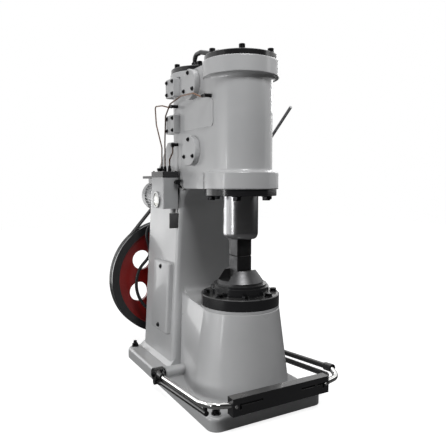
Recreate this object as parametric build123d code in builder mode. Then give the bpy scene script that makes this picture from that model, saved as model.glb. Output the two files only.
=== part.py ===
# Pneumatic forging hammer, millimetres, +Z up, floor at z = 0.
# The origin is on the floor, straight below the ram. The front faces -Y.
import math
import os
from build123d import *

os.makedirs("parts", exist_ok=True)

# Column and throat
throat = 302.0
column_depth = 360.0
column_rear = throat + column_depth
column_foot_half = 170.0
column_top_half = 125.0
foot_flare = 14.0
foot_rise = 20.0
head_bottom = 850.0
arch_r = 80.0
front_round = 22.0
rear_round = 30.0

# Base plate
base_half_width = 250.0
base_front = 225.0
base_tail = 28.0
base_rear = column_rear + base_tail
base_thickness = 50.0
base_corner = 40.0
anchor_hole_r = 11.0
anchor_inset = 34.0

# Anvil pedestal
pedestal_top = 391.0
pedestal_top_r = 157.0
pedestal_foot_r = 200.0
web_top_half = 118.0
web_bottom_half = 128.0

# Head casting: working cylinder in front, compressor cylinder behind it
barrel_r = 125.0
flange_r = 150.0
bore_r = 85.0
head_height = 490.0
head_top = head_bottom + head_height
top_flange_height = 62.0
low_flange_height = 66.0
cast_cove = 12.0
cast_edge = 4.0
compressor_back = 38.0
compressor_y = throat + compressor_back
compressor_lip = 12.0
compressor_flange_r = barrel_r + compressor_lip
compressor_rise = 10.0
compressor_top = head_top + compressor_rise
shoulder_y = compressor_y + barrel_r
shoulder_rise = 205.0
shoulder_top = head_bottom + shoulder_rise

# Anvil top and dies, from the pedestal up
cap_height = 44.0
cap_r = pedestal_top_r + 0.5
ring_r = 115.0
ring_height = 39.0
sow_r = 93.0
sow_top_r = 62.0
sow_height = 54.0
slot_floor_lift = 16.0
wedge_width = 9.0
die_half_x = 33.0
die_half_y = 31.0
lower_die_height = 95.0
upper_die_height = 68.0
die_gap = 0.4
cap_bottom = pedestal_top
ring_bottom = cap_bottom + cap_height
sow_bottom = ring_bottom + ring_height
slot_floor = sow_bottom + slot_floor_lift
die_line = slot_floor + lower_die_height

# Ram
ram_r = 71.0
ram_bottom = die_line + upper_die_height
ram_nose_r = 49.0
piston_lift = 55.0
piston_height = 110.0
piston_bottom = head_bottom + piston_lift
piston_top = piston_bottom + piston_height
running_gap = 0.05

# Gland and covers
gland_height = 26.0
cover_height = 21.0
cover_lip = 6.0
cover_r = flange_r - cover_lip
gland_r = cover_r - 1
bolt_count = 6
bolt_edge = 23.0
bolt_circle = flange_r - bolt_edge
screw_r = 12.0
screw_height = 18.0

# Side covers
valve_y = 168.0
valve_low_rise = 155.0
valve_top_drop = 68.0
valve_low_z = head_bottom + valve_low_rise
valve_high_z = head_top - valve_top_drop
valve_cover_r = 61.0
valve_cover_depth = 24.0
port_low_rise = 277.0
port_top_drop = 57.0
port_y = compressor_y
port_low_z = head_bottom + port_low_rise
port_high_z = head_top - port_top_drop
port_width = 86.0
port_height = 80.0
port_depth = 30.0
pad_depth = 14.0
cover_bolt_inset = 15.0

# Treadle
tube_r = 9.5
treadle_reach = 25.0
treadle_half = base_half_width + treadle_reach
pivot_back = 86.0
pivot_y = throat - pivot_back
pivot_rise = 22.0
pivot_z = base_thickness + pivot_rise
pivot_pin_r = 11.0
treadle_overhang = 59.0
treadle_front = base_front + treadle_overhang
box_half = 211.0
box_low = 84.0
box_height = 63.0
box_high = box_low + box_height
box_depth = 36.0
sheet = 5.0
box_front = treadle_front + tube_r + sheet + 1.5

# Flywheel and drive
wheel_z = 373.0
wheel_r = 300.0
wheel_back = 83.0
wheel_front = column_rear + wheel_back
wheel_width = 55.0
rim_thickness = 39.0
wheel_hole_r = 50.0
wheel_hole_circle = 167.0
wheel_holes = 6
shaft_r = 32.0
motor_x = 45.0
motor_drop = 50.0
motor_z = head_bottom - motor_drop
motor_r = 82.0
pulley_r = 42.0


def corner_path(points, radius):
    """Straight runs joined by round bends, as one line in space."""
    places = [Vector(*p) for p in points]
    start = places[0]
    for i in range(1, len(places) - 1):
        back = (places[i - 1] - places[i]).normalized()
        on = (places[i + 1] - places[i]).normalized()
        half = math.acos(max(-1.0, min(1.0, back.dot(on)))) / 2
        reach = radius / math.tan(half)
        enter = places[i] + back * reach
        leave = places[i] + on * reach
        middle_dir = (back + on).normalized()
        centre = places[i] + middle_dir * (radius / math.sin(half))
        middle = centre - middle_dir * radius
        if (enter - start).length > 0.1:
            Line(start, enter)
        ThreePointArc(enter, middle, leave)
        start = leave
    Line(start, places[-1])


def pipe_solid(points, bend, radius):
    with BuildPart() as pipe:
        with BuildLine() as path:
            corner_path(points, bend)
        with BuildSketch(Plane(origin=path.line @ 0, z_dir=path.line % 0)):
            Circle(radius)
        sweep(path=path.line)
    return pipe.part


def save(piece, name):
    piece.label = name
    export_step(piece, "parts/" + name + ".step")


# Base plate with the four anchor holes and low pads round them
anchor_x = base_half_width - anchor_inset
anchor_front_y = -base_front + anchor_inset
anchor_rear_y = base_rear - anchor_inset - 4
anchor_spots = [
    (-anchor_x, anchor_front_y),
    (anchor_x, anchor_front_y),
    (-anchor_x, anchor_rear_y),
    (anchor_x, anchor_rear_y),
]
base_mid_y = (base_rear - base_front) / 2
base_length = base_rear + base_front
with BuildPart() as base_plate:
    with BuildSketch():
        with Locations((0, base_mid_y)):
            RectangleRounded(2 * base_half_width, base_length, base_corner)
    extrude(amount=base_thickness)
    fillet(base_plate.edges().group_by(Axis.Z)[-1], radius=12)
    with BuildSketch(Plane.XY.offset(base_thickness)):
        with Locations(*anchor_spots):
            Circle(21)
    extrude(amount=4)
    with BuildSketch():
        with Locations(*anchor_spots):
            Circle(anchor_hole_r)
    extrude(amount=base_thickness + 10, mode=Mode.SUBTRACT)
save(base_plate.part, "base_plate")

# Anvil pedestal: round cone, web back to the column, pivot bosses
with BuildPart() as anvil_pedestal:
    with BuildSketch(Plane.XZ):
        with BuildLine():
            Line((0, base_thickness), (pedestal_foot_r + 14, base_thickness))
            Line((pedestal_foot_r + 14, base_thickness), (pedestal_foot_r - 2, base_thickness + 18))
            Line((pedestal_foot_r - 2, base_thickness + 18), (pedestal_top_r + 1, pedestal_top - 14))
            Line((pedestal_top_r + 1, pedestal_top - 14), (pedestal_top_r - 2, pedestal_top - 11))
            Line((pedestal_top_r - 2, pedestal_top - 11), (pedestal_top_r, pedestal_top - 8))
            Line((pedestal_top_r, pedestal_top - 8), (pedestal_top_r, pedestal_top))
            Line((pedestal_top_r, pedestal_top), (0, pedestal_top))
            Line((0, pedestal_top), (0, base_thickness))
        make_face()
    revolve(axis=Axis.Z)
    web_cone_y = 90.0
    with BuildSketch(Plane.XY.offset(base_thickness)):
        with BuildLine():
            Polyline(
                (-web_bottom_half, throat),
                (-web_bottom_half * 1.42, web_cone_y),
                (web_bottom_half * 1.42, web_cone_y),
                (web_bottom_half, throat),
                close=True,
            )
        make_face()
    with BuildSketch(Plane.XY.offset(pedestal_top - 6)):
        with BuildLine():
            Polyline(
                (-web_top_half, throat),
                (-web_top_half * 1.13, web_cone_y),
                (web_top_half * 1.13, web_cone_y),
                (web_top_half, throat),
                close=True,
            )
        make_face()
    loft(ruled=True)
    cove = 34.0
    with BuildSketch(Plane.YZ):
        with BuildLine():
            Line((throat - cove, pedestal_top - 6), (throat, pedestal_top - 6))
            Line((throat, pedestal_top - 6), (throat, pedestal_top - 6 + cove))
            RadiusArc((throat, pedestal_top - 6 + cove), (throat - cove, pedestal_top - 6), cove)
        make_face()
    extrude(amount=web_top_half - 12, both=True)
    for side in (-1, 1):
        with BuildSketch(Plane.YZ.offset(side * (base_half_width - 8))):
            with Locations((pivot_y, pivot_z)):
                Circle(22)
            with Locations((pivot_y, (pivot_z + base_thickness) / 2)):
                Rectangle(30, pivot_z - base_thickness)
        extrude(amount=-side * (base_half_width - 8 - 120))
        with BuildSketch(Plane.YZ.offset(side * (base_half_width - 8))):
            with Locations((pivot_y, pivot_z)):
                Circle(pivot_pin_r + 0.3)
        extrude(amount=-side * 60, mode=Mode.SUBTRACT)
save(anvil_pedestal.part, "anvil_pedestal")

# Frame casting: a side outline crossed with a front outline that widens downwards,
# with round cast corners. It is kept as two nodes, parted level with the arch's foot.
wall = barrel_r
slope = (column_foot_half - column_top_half) / (head_bottom - base_thickness)
rise_half = column_foot_half - slope * foot_rise
with BuildPart() as frame_casting:
    with BuildSketch(Plane.YZ):
        with BuildLine():
            Line((throat, base_thickness), (column_rear + foot_flare, base_thickness))
            Line((column_rear + foot_flare, base_thickness), (column_rear, base_thickness + foot_rise))
            Line((column_rear, base_thickness + foot_rise), (column_rear, head_bottom))
            Line((column_rear, head_bottom), (shoulder_y, shoulder_top))
            Line((shoulder_y, shoulder_top), (0, shoulder_top))
            Line((0, shoulder_top), (0, head_bottom))
            Line((0, head_bottom), (throat - arch_r, head_bottom))
            RadiusArc((throat - arch_r, head_bottom), (throat, head_bottom - arch_r), arch_r)
            Line((throat, head_bottom - arch_r), (throat, base_thickness))
        make_face()
    extrude(amount=2 * column_foot_half, both=True)
    with BuildSketch(Plane.XZ.offset(-column_rear - foot_flare - 10)):
        with BuildLine():
            Polyline(
                (-column_foot_half - foot_flare, base_thickness),
                (column_foot_half + foot_flare, base_thickness),
                (rise_half, base_thickness + foot_rise),
                (column_top_half, head_bottom),
                (column_top_half, shoulder_top),
                (-column_top_half, shoulder_top),
                (-column_top_half, head_bottom),
                (-rise_half, base_thickness + foot_rise),
                close=True,
            )
        make_face()
    extrude(amount=column_rear + foot_flare + 20, mode=Mode.INTERSECT)


def on_side(edge):
    box = edge.bounding_box()
    low_x = min(abs(box.min.X), abs(box.max.X))
    return low_x > column_top_half - 1 and box.min.X * box.max.X > 0


def is_front_edge(edge):
    box = edge.bounding_box()
    above_foot = box.min.Z > base_thickness + foot_rise - 1 and box.max.Z < head_bottom + 1
    in_front = box.max.Y < throat + 1 and box.min.Y > -1
    return on_side(edge) and above_foot and in_front


def is_rear_edge(edge):
    box = edge.bounding_box()
    above_foot = box.min.Z > base_thickness + foot_rise - 1
    upright = box.max.Z - box.min.Z > 50
    return on_side(edge) and above_foot and upright and box.min.Y > shoulder_y - 1


with BuildPart() as rounded_casting:
    add(frame_casting.part)
    fillet(rounded_casting.edges().filter_by(is_front_edge), radius=front_round)
    fillet(rounded_casting.edges().filter_by(is_rear_edge), radius=rear_round)

parting = Plane.XY.offset(head_bottom - arch_r)
with BuildPart() as column:
    add(rounded_casting.part)
    split(bisect_by=parting, keep=Keep.BOTTOM)
save(column.part, "column")

# Head casting: both cylinders, flanges with coves, shoulder, arch and cast pads
low_flange_top = head_bottom + low_flange_height
top_flange_low = head_top - top_flange_height
arc_share = 1 - math.cos(math.radians(45))
with BuildPart() as cylinder_block:
    add(rounded_casting.part)
    split(bisect_by=parting, keep=Keep.TOP)
    with BuildSketch(Plane.XZ) as barrel_outline:
        with BuildLine():
            Line((0, head_bottom), (flange_r, head_bottom))
            Line((flange_r, head_bottom), (flange_r, low_flange_top))
            Line((flange_r, low_flange_top), (barrel_r + cast_cove, low_flange_top))
            ThreePointArc(
                (barrel_r + cast_cove, low_flange_top),
                (barrel_r + cast_cove * arc_share, low_flange_top + cast_cove * arc_share),
                (barrel_r, low_flange_top + cast_cove),
            )
            Line((barrel_r, low_flange_top + cast_cove), (barrel_r, top_flange_low - cast_cove))
            ThreePointArc(
                (barrel_r, top_flange_low - cast_cove),
                (barrel_r + cast_cove * arc_share, top_flange_low - cast_cove * arc_share),
                (barrel_r + cast_cove, top_flange_low),
            )
            Line((barrel_r + cast_cove, top_flange_low), (flange_r, top_flange_low))
            Line((flange_r, top_flange_low), (flange_r, head_top))
            Line((flange_r, head_top), (0, head_top))
            Line((0, head_top), (0, head_bottom))
        make_face()
        fillet(barrel_outline.vertices().group_by(Axis.X)[-1], radius=cast_edge)
    revolve(axis=Axis.Z)
    with BuildSketch(Plane.XY.offset(head_bottom)):
        with Locations((0, compressor_y)):
            Circle(barrel_r)
        with Locations((0, compressor_y / 2)):
            Rectangle(2 * barrel_r, compressor_y)
    extrude(amount=head_height - 5)
    with BuildSketch(Plane.XZ.offset(-compressor_y)) as lip_outline:
        with BuildLine():
            Polyline(
                (0, compressor_top - 26),
                (compressor_flange_r, compressor_top - 26),
                (compressor_flange_r, compressor_top),
                (0, compressor_top),
                close=True,
            )
        make_face()
        fillet(lip_outline.vertices().group_by(Axis.X)[-1], radius=cast_edge - 1)
    revolve(axis=Axis((0, compressor_y, 0), (0, 0, 1)))
    for height in (port_low_z, port_high_z):
        with BuildSketch(Plane.YZ.offset(-wall - pad_depth)):
            with Locations((port_y, height)):
                RectangleRounded(port_width, port_height, 6)
        extrude(amount=pad_depth + 34)
    for side in (-1, 1):
        for height in (valve_low_z, valve_high_z):
            with BuildSketch(Plane.YZ.offset(side * (wall - 4))):
                with Locations((valve_y, height)):
                    Circle(valve_cover_r)
            extrude(amount=side * (pad_depth + 4))
    # Low raised pad with round corners between the two covers of the left wall
    pad_low = valve_low_z + valve_cover_r + 26
    pad_high = valve_high_z - valve_cover_r - 15
    with BuildSketch(Plane.YZ.offset(-wall - 4)):
        with Locations((valve_y - 46, (pad_low + pad_high) / 2)):
            RectangleRounded(252, pad_high - pad_low, 14)
    extrude(amount=24)
    with BuildSketch(Plane.XY.offset(head_bottom)):
        Circle(bore_r + running_gap)
    extrude(amount=head_height, mode=Mode.SUBTRACT)
save(cylinder_block.part, "cylinder_block")

# Cylinder covers and their cap screws
with BuildPart() as cylinder_cover:
    with BuildSketch(Plane.XY.offset(head_top)):
        Circle(cover_r)
    extrude(amount=cover_height)
    chamfer(cylinder_cover.edges().group_by(Axis.Z)[-1], length=2)
save(cylinder_cover.part, "cylinder_cover")

compressor_cover_r = compressor_flange_r - 3
with BuildPart() as compressor_cover:
    with BuildSketch(Plane.XY.offset(compressor_top)):
        with Locations((0, compressor_y)):
            Circle(compressor_cover_r)
    extrude(amount=cover_height)
    chamfer(compressor_cover.edges().group_by(Axis.Z)[-1], length=2)
save(compressor_cover.part, "compressor_cover")

with BuildPart() as cover_screws:
    with BuildSketch(Plane.XY.offset(head_top + cover_height)):
        with PolarLocations(bolt_circle, bolt_count):
            Circle(screw_r)
    extrude(amount=screw_height)
    with BuildSketch(Plane.XY.offset(compressor_top + cover_height)):
        with Locations((0, compressor_y)):
            with PolarLocations(compressor_cover_r - 17, bolt_count):
                Circle(screw_r)
    extrude(amount=screw_height)
save(cover_screws.part, "cover_screws")

# Air pipe that loops from one cover to the other
pipe_r = 10.0
pipe_front = (-35.0, 90.0)
pipe_rear = (-58.0, compressor_y - 54.0)
front_seat = head_top + cover_height
rear_seat = compressor_top + cover_height
with BuildPart() as air_pipe:
    add(
        pipe_solid(
            [
                (pipe_front[0], pipe_front[1], front_seat + 8),
                (pipe_front[0], pipe_front[1], front_seat + 38),
                (pipe_front[0] - 13, pipe_front[1] + 80, front_seat + 47),
                (pipe_rear[0], pipe_rear[1] - 58, rear_seat + 53),
                (pipe_rear[0], pipe_rear[1], rear_seat + 53),
                (pipe_rear[0], pipe_rear[1], rear_seat + 8),
            ],
            24,
            pipe_r,
        )
    )
    for spot, seat in ((pipe_front, front_seat), (pipe_rear, rear_seat)):
        with BuildSketch(Plane.XY.offset(seat)):
            with Locations(spot):
                Circle(17)
        extrude(amount=9)
save(air_pipe.part, "air_pipe")

# Gland plate that guides the ram, with hexagon heads below it
with BuildPart() as gland_plate:
    with BuildSketch(Plane.XY.offset(head_bottom)):
        Circle(gland_r)
    extrude(amount=-gland_height)
    with BuildSketch(Plane.XY.offset(head_bottom)):
        Circle(ram_r + running_gap)
    extrude(amount=-gland_height, mode=Mode.SUBTRACT)
    chamfer(gland_plate.edges().group_by(Axis.Z)[0].sort_by(SortBy.LENGTH)[-1], length=2)
save(gland_plate.part, "gland_plate")

with BuildPart() as gland_bolts:
    with BuildSketch(Plane.XY.offset(head_bottom - gland_height)):
        with PolarLocations(bolt_circle - 4, bolt_count, start_angle=-8):
            RegularPolygon(17, 6)
    extrude(amount=-17)
save(gland_bolts.part, "gland_bolts")

# Ram: rod, piston and hollow top in one piece
with BuildPart() as ram:
    with BuildSketch(Plane.XZ):
        with BuildLine():
            Polyline(
                (0, ram_bottom),
                (ram_nose_r, ram_bottom),
                (ram_r - 6, ram_bottom + 20),
                (ram_r, ram_bottom + 34),
                (ram_r, piston_bottom),
                (bore_r, piston_bottom),
                (bore_r, piston_top),
                (45, piston_top),
                (45, piston_bottom - 45),
                (0, piston_bottom - 45),
                close=True,
            )
        make_face()
    revolve(axis=Axis.Z)
save(ram.part, "ram")

with BuildPart() as upper_die:
    with BuildSketch(Plane.XY.offset(ram_bottom)):
        Rectangle(2 * die_half_x, 2 * die_half_y)
    extrude(amount=-(ram_bottom - die_line - die_gap))
    chamfer(upper_die.edges().group_by(Axis.Z)[0], length=2)
save(upper_die.part, "upper_die")

# Anvil top: bolted cap, ring, sow block with its slot, wedge and lower die
slot_front = die_half_y + wedge_width
with BuildPart() as anvil_cap:
    with BuildSketch(Plane.XY.offset(cap_bottom)):
        Circle(cap_r)
    extrude(amount=cap_height)
    chamfer(anvil_cap.edges().group_by(Axis.Z)[-1], length=3)
save(anvil_cap.part, "anvil_cap")

with BuildPart() as anvil_cap_bolts:
    with BuildSketch(Plane.XY.offset(ring_bottom)):
        with PolarLocations(cap_r - 21, 8, start_angle=22.5):
            RegularPolygon(14, 6)
    extrude(amount=13)
save(anvil_cap_bolts.part, "anvil_cap_bolts")

with BuildPart() as anvil_ring:
    with BuildSketch(Plane.XY.offset(ring_bottom)):
        Circle(ring_r)
    extrude(amount=ring_height - 10)
    with BuildSketch(Plane.XY.offset(ring_bottom + ring_height - 10)):
        Circle(ring_r - 8)
    extrude(amount=10)
save(anvil_ring.part, "anvil_ring")

with BuildPart() as sow_block:
    with BuildSketch(Plane.XZ):
        with BuildLine():
            Polyline(
                (0, sow_bottom),
                (sow_r, sow_bottom),
                (sow_r, sow_bottom + 8),
                (sow_top_r, sow_bottom + sow_height),
                (0, sow_bottom + sow_height),
                close=True,
            )
        make_face()
    revolve(axis=Axis.Z)
    with BuildSketch(Plane.YZ):
        with Locations(((die_half_y - slot_front) / 2, slot_floor + 40)):
            Rectangle(die_half_y + slot_front, 80)
    extrude(amount=sow_r + 20, both=True, mode=Mode.SUBTRACT)
save(sow_block.part, "sow_block")

with BuildPart() as lower_die:
    with BuildSketch(Plane.XY.offset(slot_floor)):
        Rectangle(2 * die_half_x, 2 * die_half_y)
    extrude(amount=die_line - slot_floor)
    chamfer(lower_die.edges().group_by(Axis.Z)[-1], length=2)
save(lower_die.part, "lower_die")

with BuildPart() as sow_wedge:
    with BuildSketch(Plane.YZ):
        with Locations((-(die_half_y + slot_front) / 2, slot_floor + 9)):
            Rectangle(slot_front - die_half_y, 18)
    extrude(amount=62, both=True)
save(sow_wedge.part, "sow_wedge")

# Round valve covers and the square port covers on the left face
with BuildPart() as valve_covers:
    for height in (valve_low_z, valve_high_z):
        with BuildSketch(Plane.YZ.offset(-wall - pad_depth)):
            with Locations((valve_y, height)):
                Circle(valve_cover_r)
        extrude(amount=-valve_cover_depth + pad_depth)
    chamfer(valve_covers.edges().group_by(Axis.X)[0], length=2)
save(valve_covers.part, "valve_covers")

with BuildPart() as port_covers:
    for height in (port_low_z, port_high_z):
        with BuildSketch(Plane.YZ.offset(-wall - pad_depth)):
            with Locations((port_y, height)):
                RectangleRounded(port_width, port_height, 6)
        extrude(amount=-port_depth + pad_depth)
    chamfer(port_covers.edges().group_by(Axis.X)[0], length=2)
save(port_covers.part, "port_covers")

with BuildPart() as cover_bolts:
    for height in (valve_low_z, valve_high_z):
        with BuildSketch(Plane.YZ.offset(-wall - valve_cover_depth)):
            with Locations((valve_y, height)):
                with PolarLocations(valve_cover_r - cover_bolt_inset, 3, start_angle=90):
                    Circle(6.5)
        extrude(amount=-7)
    for height in (port_low_z, port_high_z):
        with BuildSketch(Plane.YZ.offset(-wall - port_depth)):
            with Locations((port_y, height)):
                with GridLocations(port_width - 28, port_height - 28, 2, 2):
                    Circle(6.5)
        extrude(amount=-7)
save(cover_bolts.part, "cover_bolts")

spindle_r = 11.0
spindle_length = 76.0
with BuildPart() as right_covers:
    for height in (valve_low_z, valve_high_z):
        with BuildSketch(Plane.YZ.offset(wall + pad_depth)):
            with Locations((valve_y, height)):
                Circle(valve_cover_r)
        extrude(amount=valve_cover_depth - pad_depth)
    with BuildSketch(Plane.YZ.offset(wall + valve_cover_depth)):
        with Locations((valve_y, valve_low_z)):
            Circle(spindle_r)
    extrude(amount=spindle_length)
save(right_covers.part, "right_covers")

# Control lever: long hub on the lower valve spindle and a plain rod beside the barrel
hub_x = wall + valve_cover_depth
lever_x = hub_x + 59.5
lever_start = (lever_x, valve_y, valve_low_z)
lever_tip = (lever_x, valve_y - 216, valve_low_z + 176)
with BuildPart() as control_lever:
    with BuildSketch(Plane.YZ.offset(hub_x + 6)):
        with Locations((valve_y, valve_low_z)):
            Circle(20)
    extrude(amount=lever_x + 11 - hub_x - 6)
    with BuildLine() as rod_line:
        Line(lever_start, lever_tip)
    with BuildSketch(Plane(origin=lever_start, z_dir=rod_line.line % 0)):
        Circle(6.5)
    sweep(path=rod_line.line)
    with BuildSketch(Plane.YZ.offset(hub_x)):
        with Locations((valve_y, valve_low_z)):
            Circle(spindle_r + running_gap)
    extrude(amount=lever_x + 30 - hub_x, mode=Mode.SUBTRACT)
save(control_lever.part, "control_lever")

# Side access cover on the sloping left wall of the column
access_y = throat + 123.0
access_low = 190.0
access_high = 515.0
access_width = 180.0
access_depth = 18.0
wall_tilt = math.degrees(math.atan(slope))
access_mid_z = (access_low + access_high) / 2
access_x = -(column_foot_half - slope * (access_mid_z - base_thickness))
wall_normal = (-math.cos(math.radians(wall_tilt)), 0, math.sin(math.radians(wall_tilt)))
access_plane = Plane(origin=(access_x, access_y, access_mid_z), x_dir=(0, 1, 0), z_dir=wall_normal)
with BuildPart() as side_access_cover:
    with BuildSketch(access_plane):
        RectangleRounded(access_width, access_high - access_low, 10)
    extrude(amount=access_depth)
    chamfer(side_access_cover.edges().group_by(Axis.X)[0], length=1)
save(side_access_cover.part, "side_access_cover")

with BuildPart() as access_screws:
    with BuildSketch(access_plane.offset(access_depth)):
        with GridLocations(1, access_high - access_low - 52, 1, 2):
            Circle(8)
    extrude(amount=7)
save(access_screws.part, "access_screws")

# Lubricator box on the left wall
lub_gap = 9.0
lub_width = 71.0
lub_depth = 132.0
lub_height = 136.0
lub_x1 = -wall - lub_gap
lub_x0 = lub_x1 - lub_width
lub_y0 = compressor_y - 40.0
lub_y1 = lub_y0 + lub_depth
lub_low = head_bottom - 89.0
lub_high = lub_low + lub_height
lub_mid_x = (lub_x0 + lub_x1) / 2
lub_mid_y = (lub_y0 + lub_y1) / 2
with BuildPart() as lubricator_tank:
    with BuildSketch(Plane.XY.offset(lub_low)):
        with Locations((lub_mid_x, lub_mid_y)):
            RectangleRounded(lub_x1 - lub_x0, lub_y1 - lub_y0, 4)
    extrude(amount=lub_high - lub_low)
    with BuildSketch(Plane.XY.offset(lub_low)):
        with Locations((lub_x1 - 13, lub_y0 + 30)):
            Circle(12)
    extrude(amount=-22)
save(lubricator_tank.part, "lubricator_tank")

lid_height = 26.0
with BuildPart() as lubricator_lid:
    with BuildSketch(Plane.XY.offset(lub_high)):
        with Locations((lub_mid_x, lub_mid_y)):
            RectangleRounded(lub_x1 - lub_x0 + 4, lub_y1 - lub_y0 + 4, 5)
    extrude(amount=lid_height)
    chamfer(lubricator_lid.edges().group_by(Axis.Z)[-1], length=2)
save(lubricator_lid.part, "lubricator_lid")

with BuildPart() as sight_glass:
    with BuildSketch(Plane.YZ.offset(lub_x0)):
        with Locations((lub_mid_y + 5, lub_low + 50)):
            Circle(20)
    extrude(amount=-7)
save(sight_glass.part, "sight_glass")

# Bracket plate between the box and the wall, and the hand crank
with BuildPart() as lubricator_bracket:
    with BuildSketch(Plane.XZ.offset(-lub_y0 - 10)):
        with BuildLine():
            Polyline(
                (lub_x1, lub_low),
                (lub_x1, head_bottom),
                (-column_top_half, head_bottom),
                (-(column_foot_half - slope * (lub_low - base_thickness)), lub_low),
                close=True,
            )
        make_face()
    extrude(amount=-(lub_y1 - lub_y0 - 20))
save(lubricator_bracket.part, "lubricator_bracket")

with BuildPart() as lubricator_crank:
    with BuildSketch(Plane.XZ.offset(-lub_y0)):
        with Locations((lub_x1 - 14, lub_high - 20)):
            Circle(7)
    extrude(amount=22)
    with BuildSketch(Plane.XZ.offset(-lub_y0 + 14)):
        with Locations((lub_x1 - 14, lub_high - 20)):
            Circle(10)
        with Locations((lub_x1 - 8, lub_high - 14)):
            Rectangle(24, 9)
    extrude(amount=7)
save(lubricator_crank.part, "lubricator_crank")

# Oil lines in thin copper tube, and their fittings. The bends are placed in
# port cover widths and heights from the middle of the lower port cover.
oil_r = 3.0
line_x = lub_x0 + 40.0
fit_x = -wall - 25.0
lid_top = lub_high + lid_height
nut_top = lid_top + 14
nut_reach = 12.0


def by_port(x, across, up):
    return (x, port_y + across * port_width, port_low_z + up * port_height)


fit_low = by_port(fit_x, -0.21, -1.09)
fit_mid = by_port(fit_x, -0.21, 0.96)
fit_front = by_port(fit_x + 2, -3.79, 0.99)
line_spots = (lub_y0 + 108.0, lub_y0 + 72.0, fit_low[1])
rear_route = [
    (line_x, line_spots[0], nut_top),
    (line_x, line_spots[0], nut_top + 40),
    by_port(line_x, 0.77, -1.21),
    by_port(line_x, 1.51, 0.16),
    by_port(line_x, 1.65, 1.19),
    by_port(line_x, 0.7, 1.11),
    (fit_mid[0], fit_mid[1] + nut_reach + 24, fit_mid[2]),
    (fit_mid[0], fit_mid[1] + nut_reach, fit_mid[2]),
]
front_route = [
    (line_x, line_spots[1], nut_top),
    (line_x, line_spots[1], port_low_z - 0.96 * port_height),
    by_port(line_x, 0.26, 0.48),
    by_port(line_x, -0.33, 1.06),
    by_port(line_x, -1.63, 1.28),
    by_port(line_x, -2.91, 1.21),
    (fit_front[0], fit_front[1] + nut_reach + 26, fit_front[2]),
    (fit_front[0], fit_front[1] + nut_reach, fit_front[2]),
]
low_route = [
    (line_x, line_spots[2], nut_top),
    (line_x, line_spots[2], fit_low[2] - 65),
    (fit_low[0], fit_low[1], fit_low[2] - 35),
    (fit_low[0], fit_low[1], fit_low[2] - nut_reach),
]
with BuildPart() as oil_lines:
    for route in (rear_route, front_route, low_route):
        add(pipe_solid(route, 11, oil_r))
save(oil_lines.part, "oil_lines")

with BuildPart() as oil_fittings:
    for spot_y in line_spots:
        with BuildSketch(Plane.XY.offset(lid_top)):
            with Locations((line_x, spot_y)):
                RegularPolygon(8, 6)
        extrude(amount=nut_top - lid_top)
    for place in (fit_low, fit_mid, fit_front):
        with BuildSketch(Plane.YZ.offset(-wall)):
            with Locations((place[1], place[2])):
                Circle(7)
        extrude(amount=place[0] + wall - 7)
    for place in (fit_mid, fit_front):
        with BuildSketch(Plane.XZ.offset(-place[1])):
            with Locations((place[0], place[2])):
                Circle(7)
        extrude(amount=-nut_reach)
    with BuildSketch(Plane.XY.offset(fit_low[2])):
        with Locations((fit_low[0], fit_low[1])):
            Circle(7)
    extrude(amount=-nut_reach)
save(oil_fittings.part, "oil_fittings")

# Treadle axle stubs, fixed in the bosses
boss_face = base_half_width - 8
hub_in = boss_face + 8
hub_out = hub_in + 42
with BuildPart() as treadle_axles:
    for side in (-1, 1):
        with BuildSketch(Plane.YZ.offset(side * (boss_face - 58))):
            with Locations((pivot_y, pivot_z)):
                Circle(pivot_pin_r)
        extrude(amount=side * (hub_out + 6 - boss_face + 58))
        with BuildSketch(Plane.YZ.offset(side * boss_face)):
            with Locations((pivot_y, pivot_z)):
                Circle(17)
        extrude(amount=side * 3)
save(treadle_axles.part, "treadle_axles")

# Treadle: collars with a clamp screw, bent tube, dark side bars and the front box
sleeve_y = pivot_y - 62
run_low = pivot_z + 6
bar_lift = 26.0
bar_x = treadle_half
lug_y = pivot_y - 24
with BuildPart() as treadle_collars:
    for side in (-1, 1):
        with BuildSketch(Plane.YZ.offset(side * hub_in)):
            with Locations((pivot_y, pivot_z)):
                Circle(27)
            with Locations((pivot_y - 4, pivot_z - 31)):
                Circle(12)
        extrude(amount=side * (hub_out - hub_in))
        with BuildSketch(Plane.XZ.offset(-sleeve_y)):
            with Locations((side * treadle_half, run_low)):
                Circle(16)
        extrude(amount=-(pivot_y - sleeve_y))
        with BuildSketch(Plane.YZ.offset(side * hub_in)):
            with Locations((pivot_y, pivot_z)):
                Circle(pivot_pin_r + running_gap)
        extrude(amount=side * (hub_out - hub_in + 20), mode=Mode.SUBTRACT)
    with BuildSketch(Plane.XY.offset(run_low)):
        with Locations((-treadle_half, sleeve_y + 14)):
            Circle(5)
    extrude(amount=26)
    with BuildSketch(Plane.YZ.offset(treadle_half)):
        with Locations((sleeve_y + 14, run_low)):
            Circle(5)
    extrude(amount=22)
    with BuildSketch(Plane.XZ.offset(-lug_y)):
        with Locations((bar_x, run_low + 20)):
            Rectangle(24, 44)
    extrude(amount=8)
save(treadle_collars.part, "treadle_collars")

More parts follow.
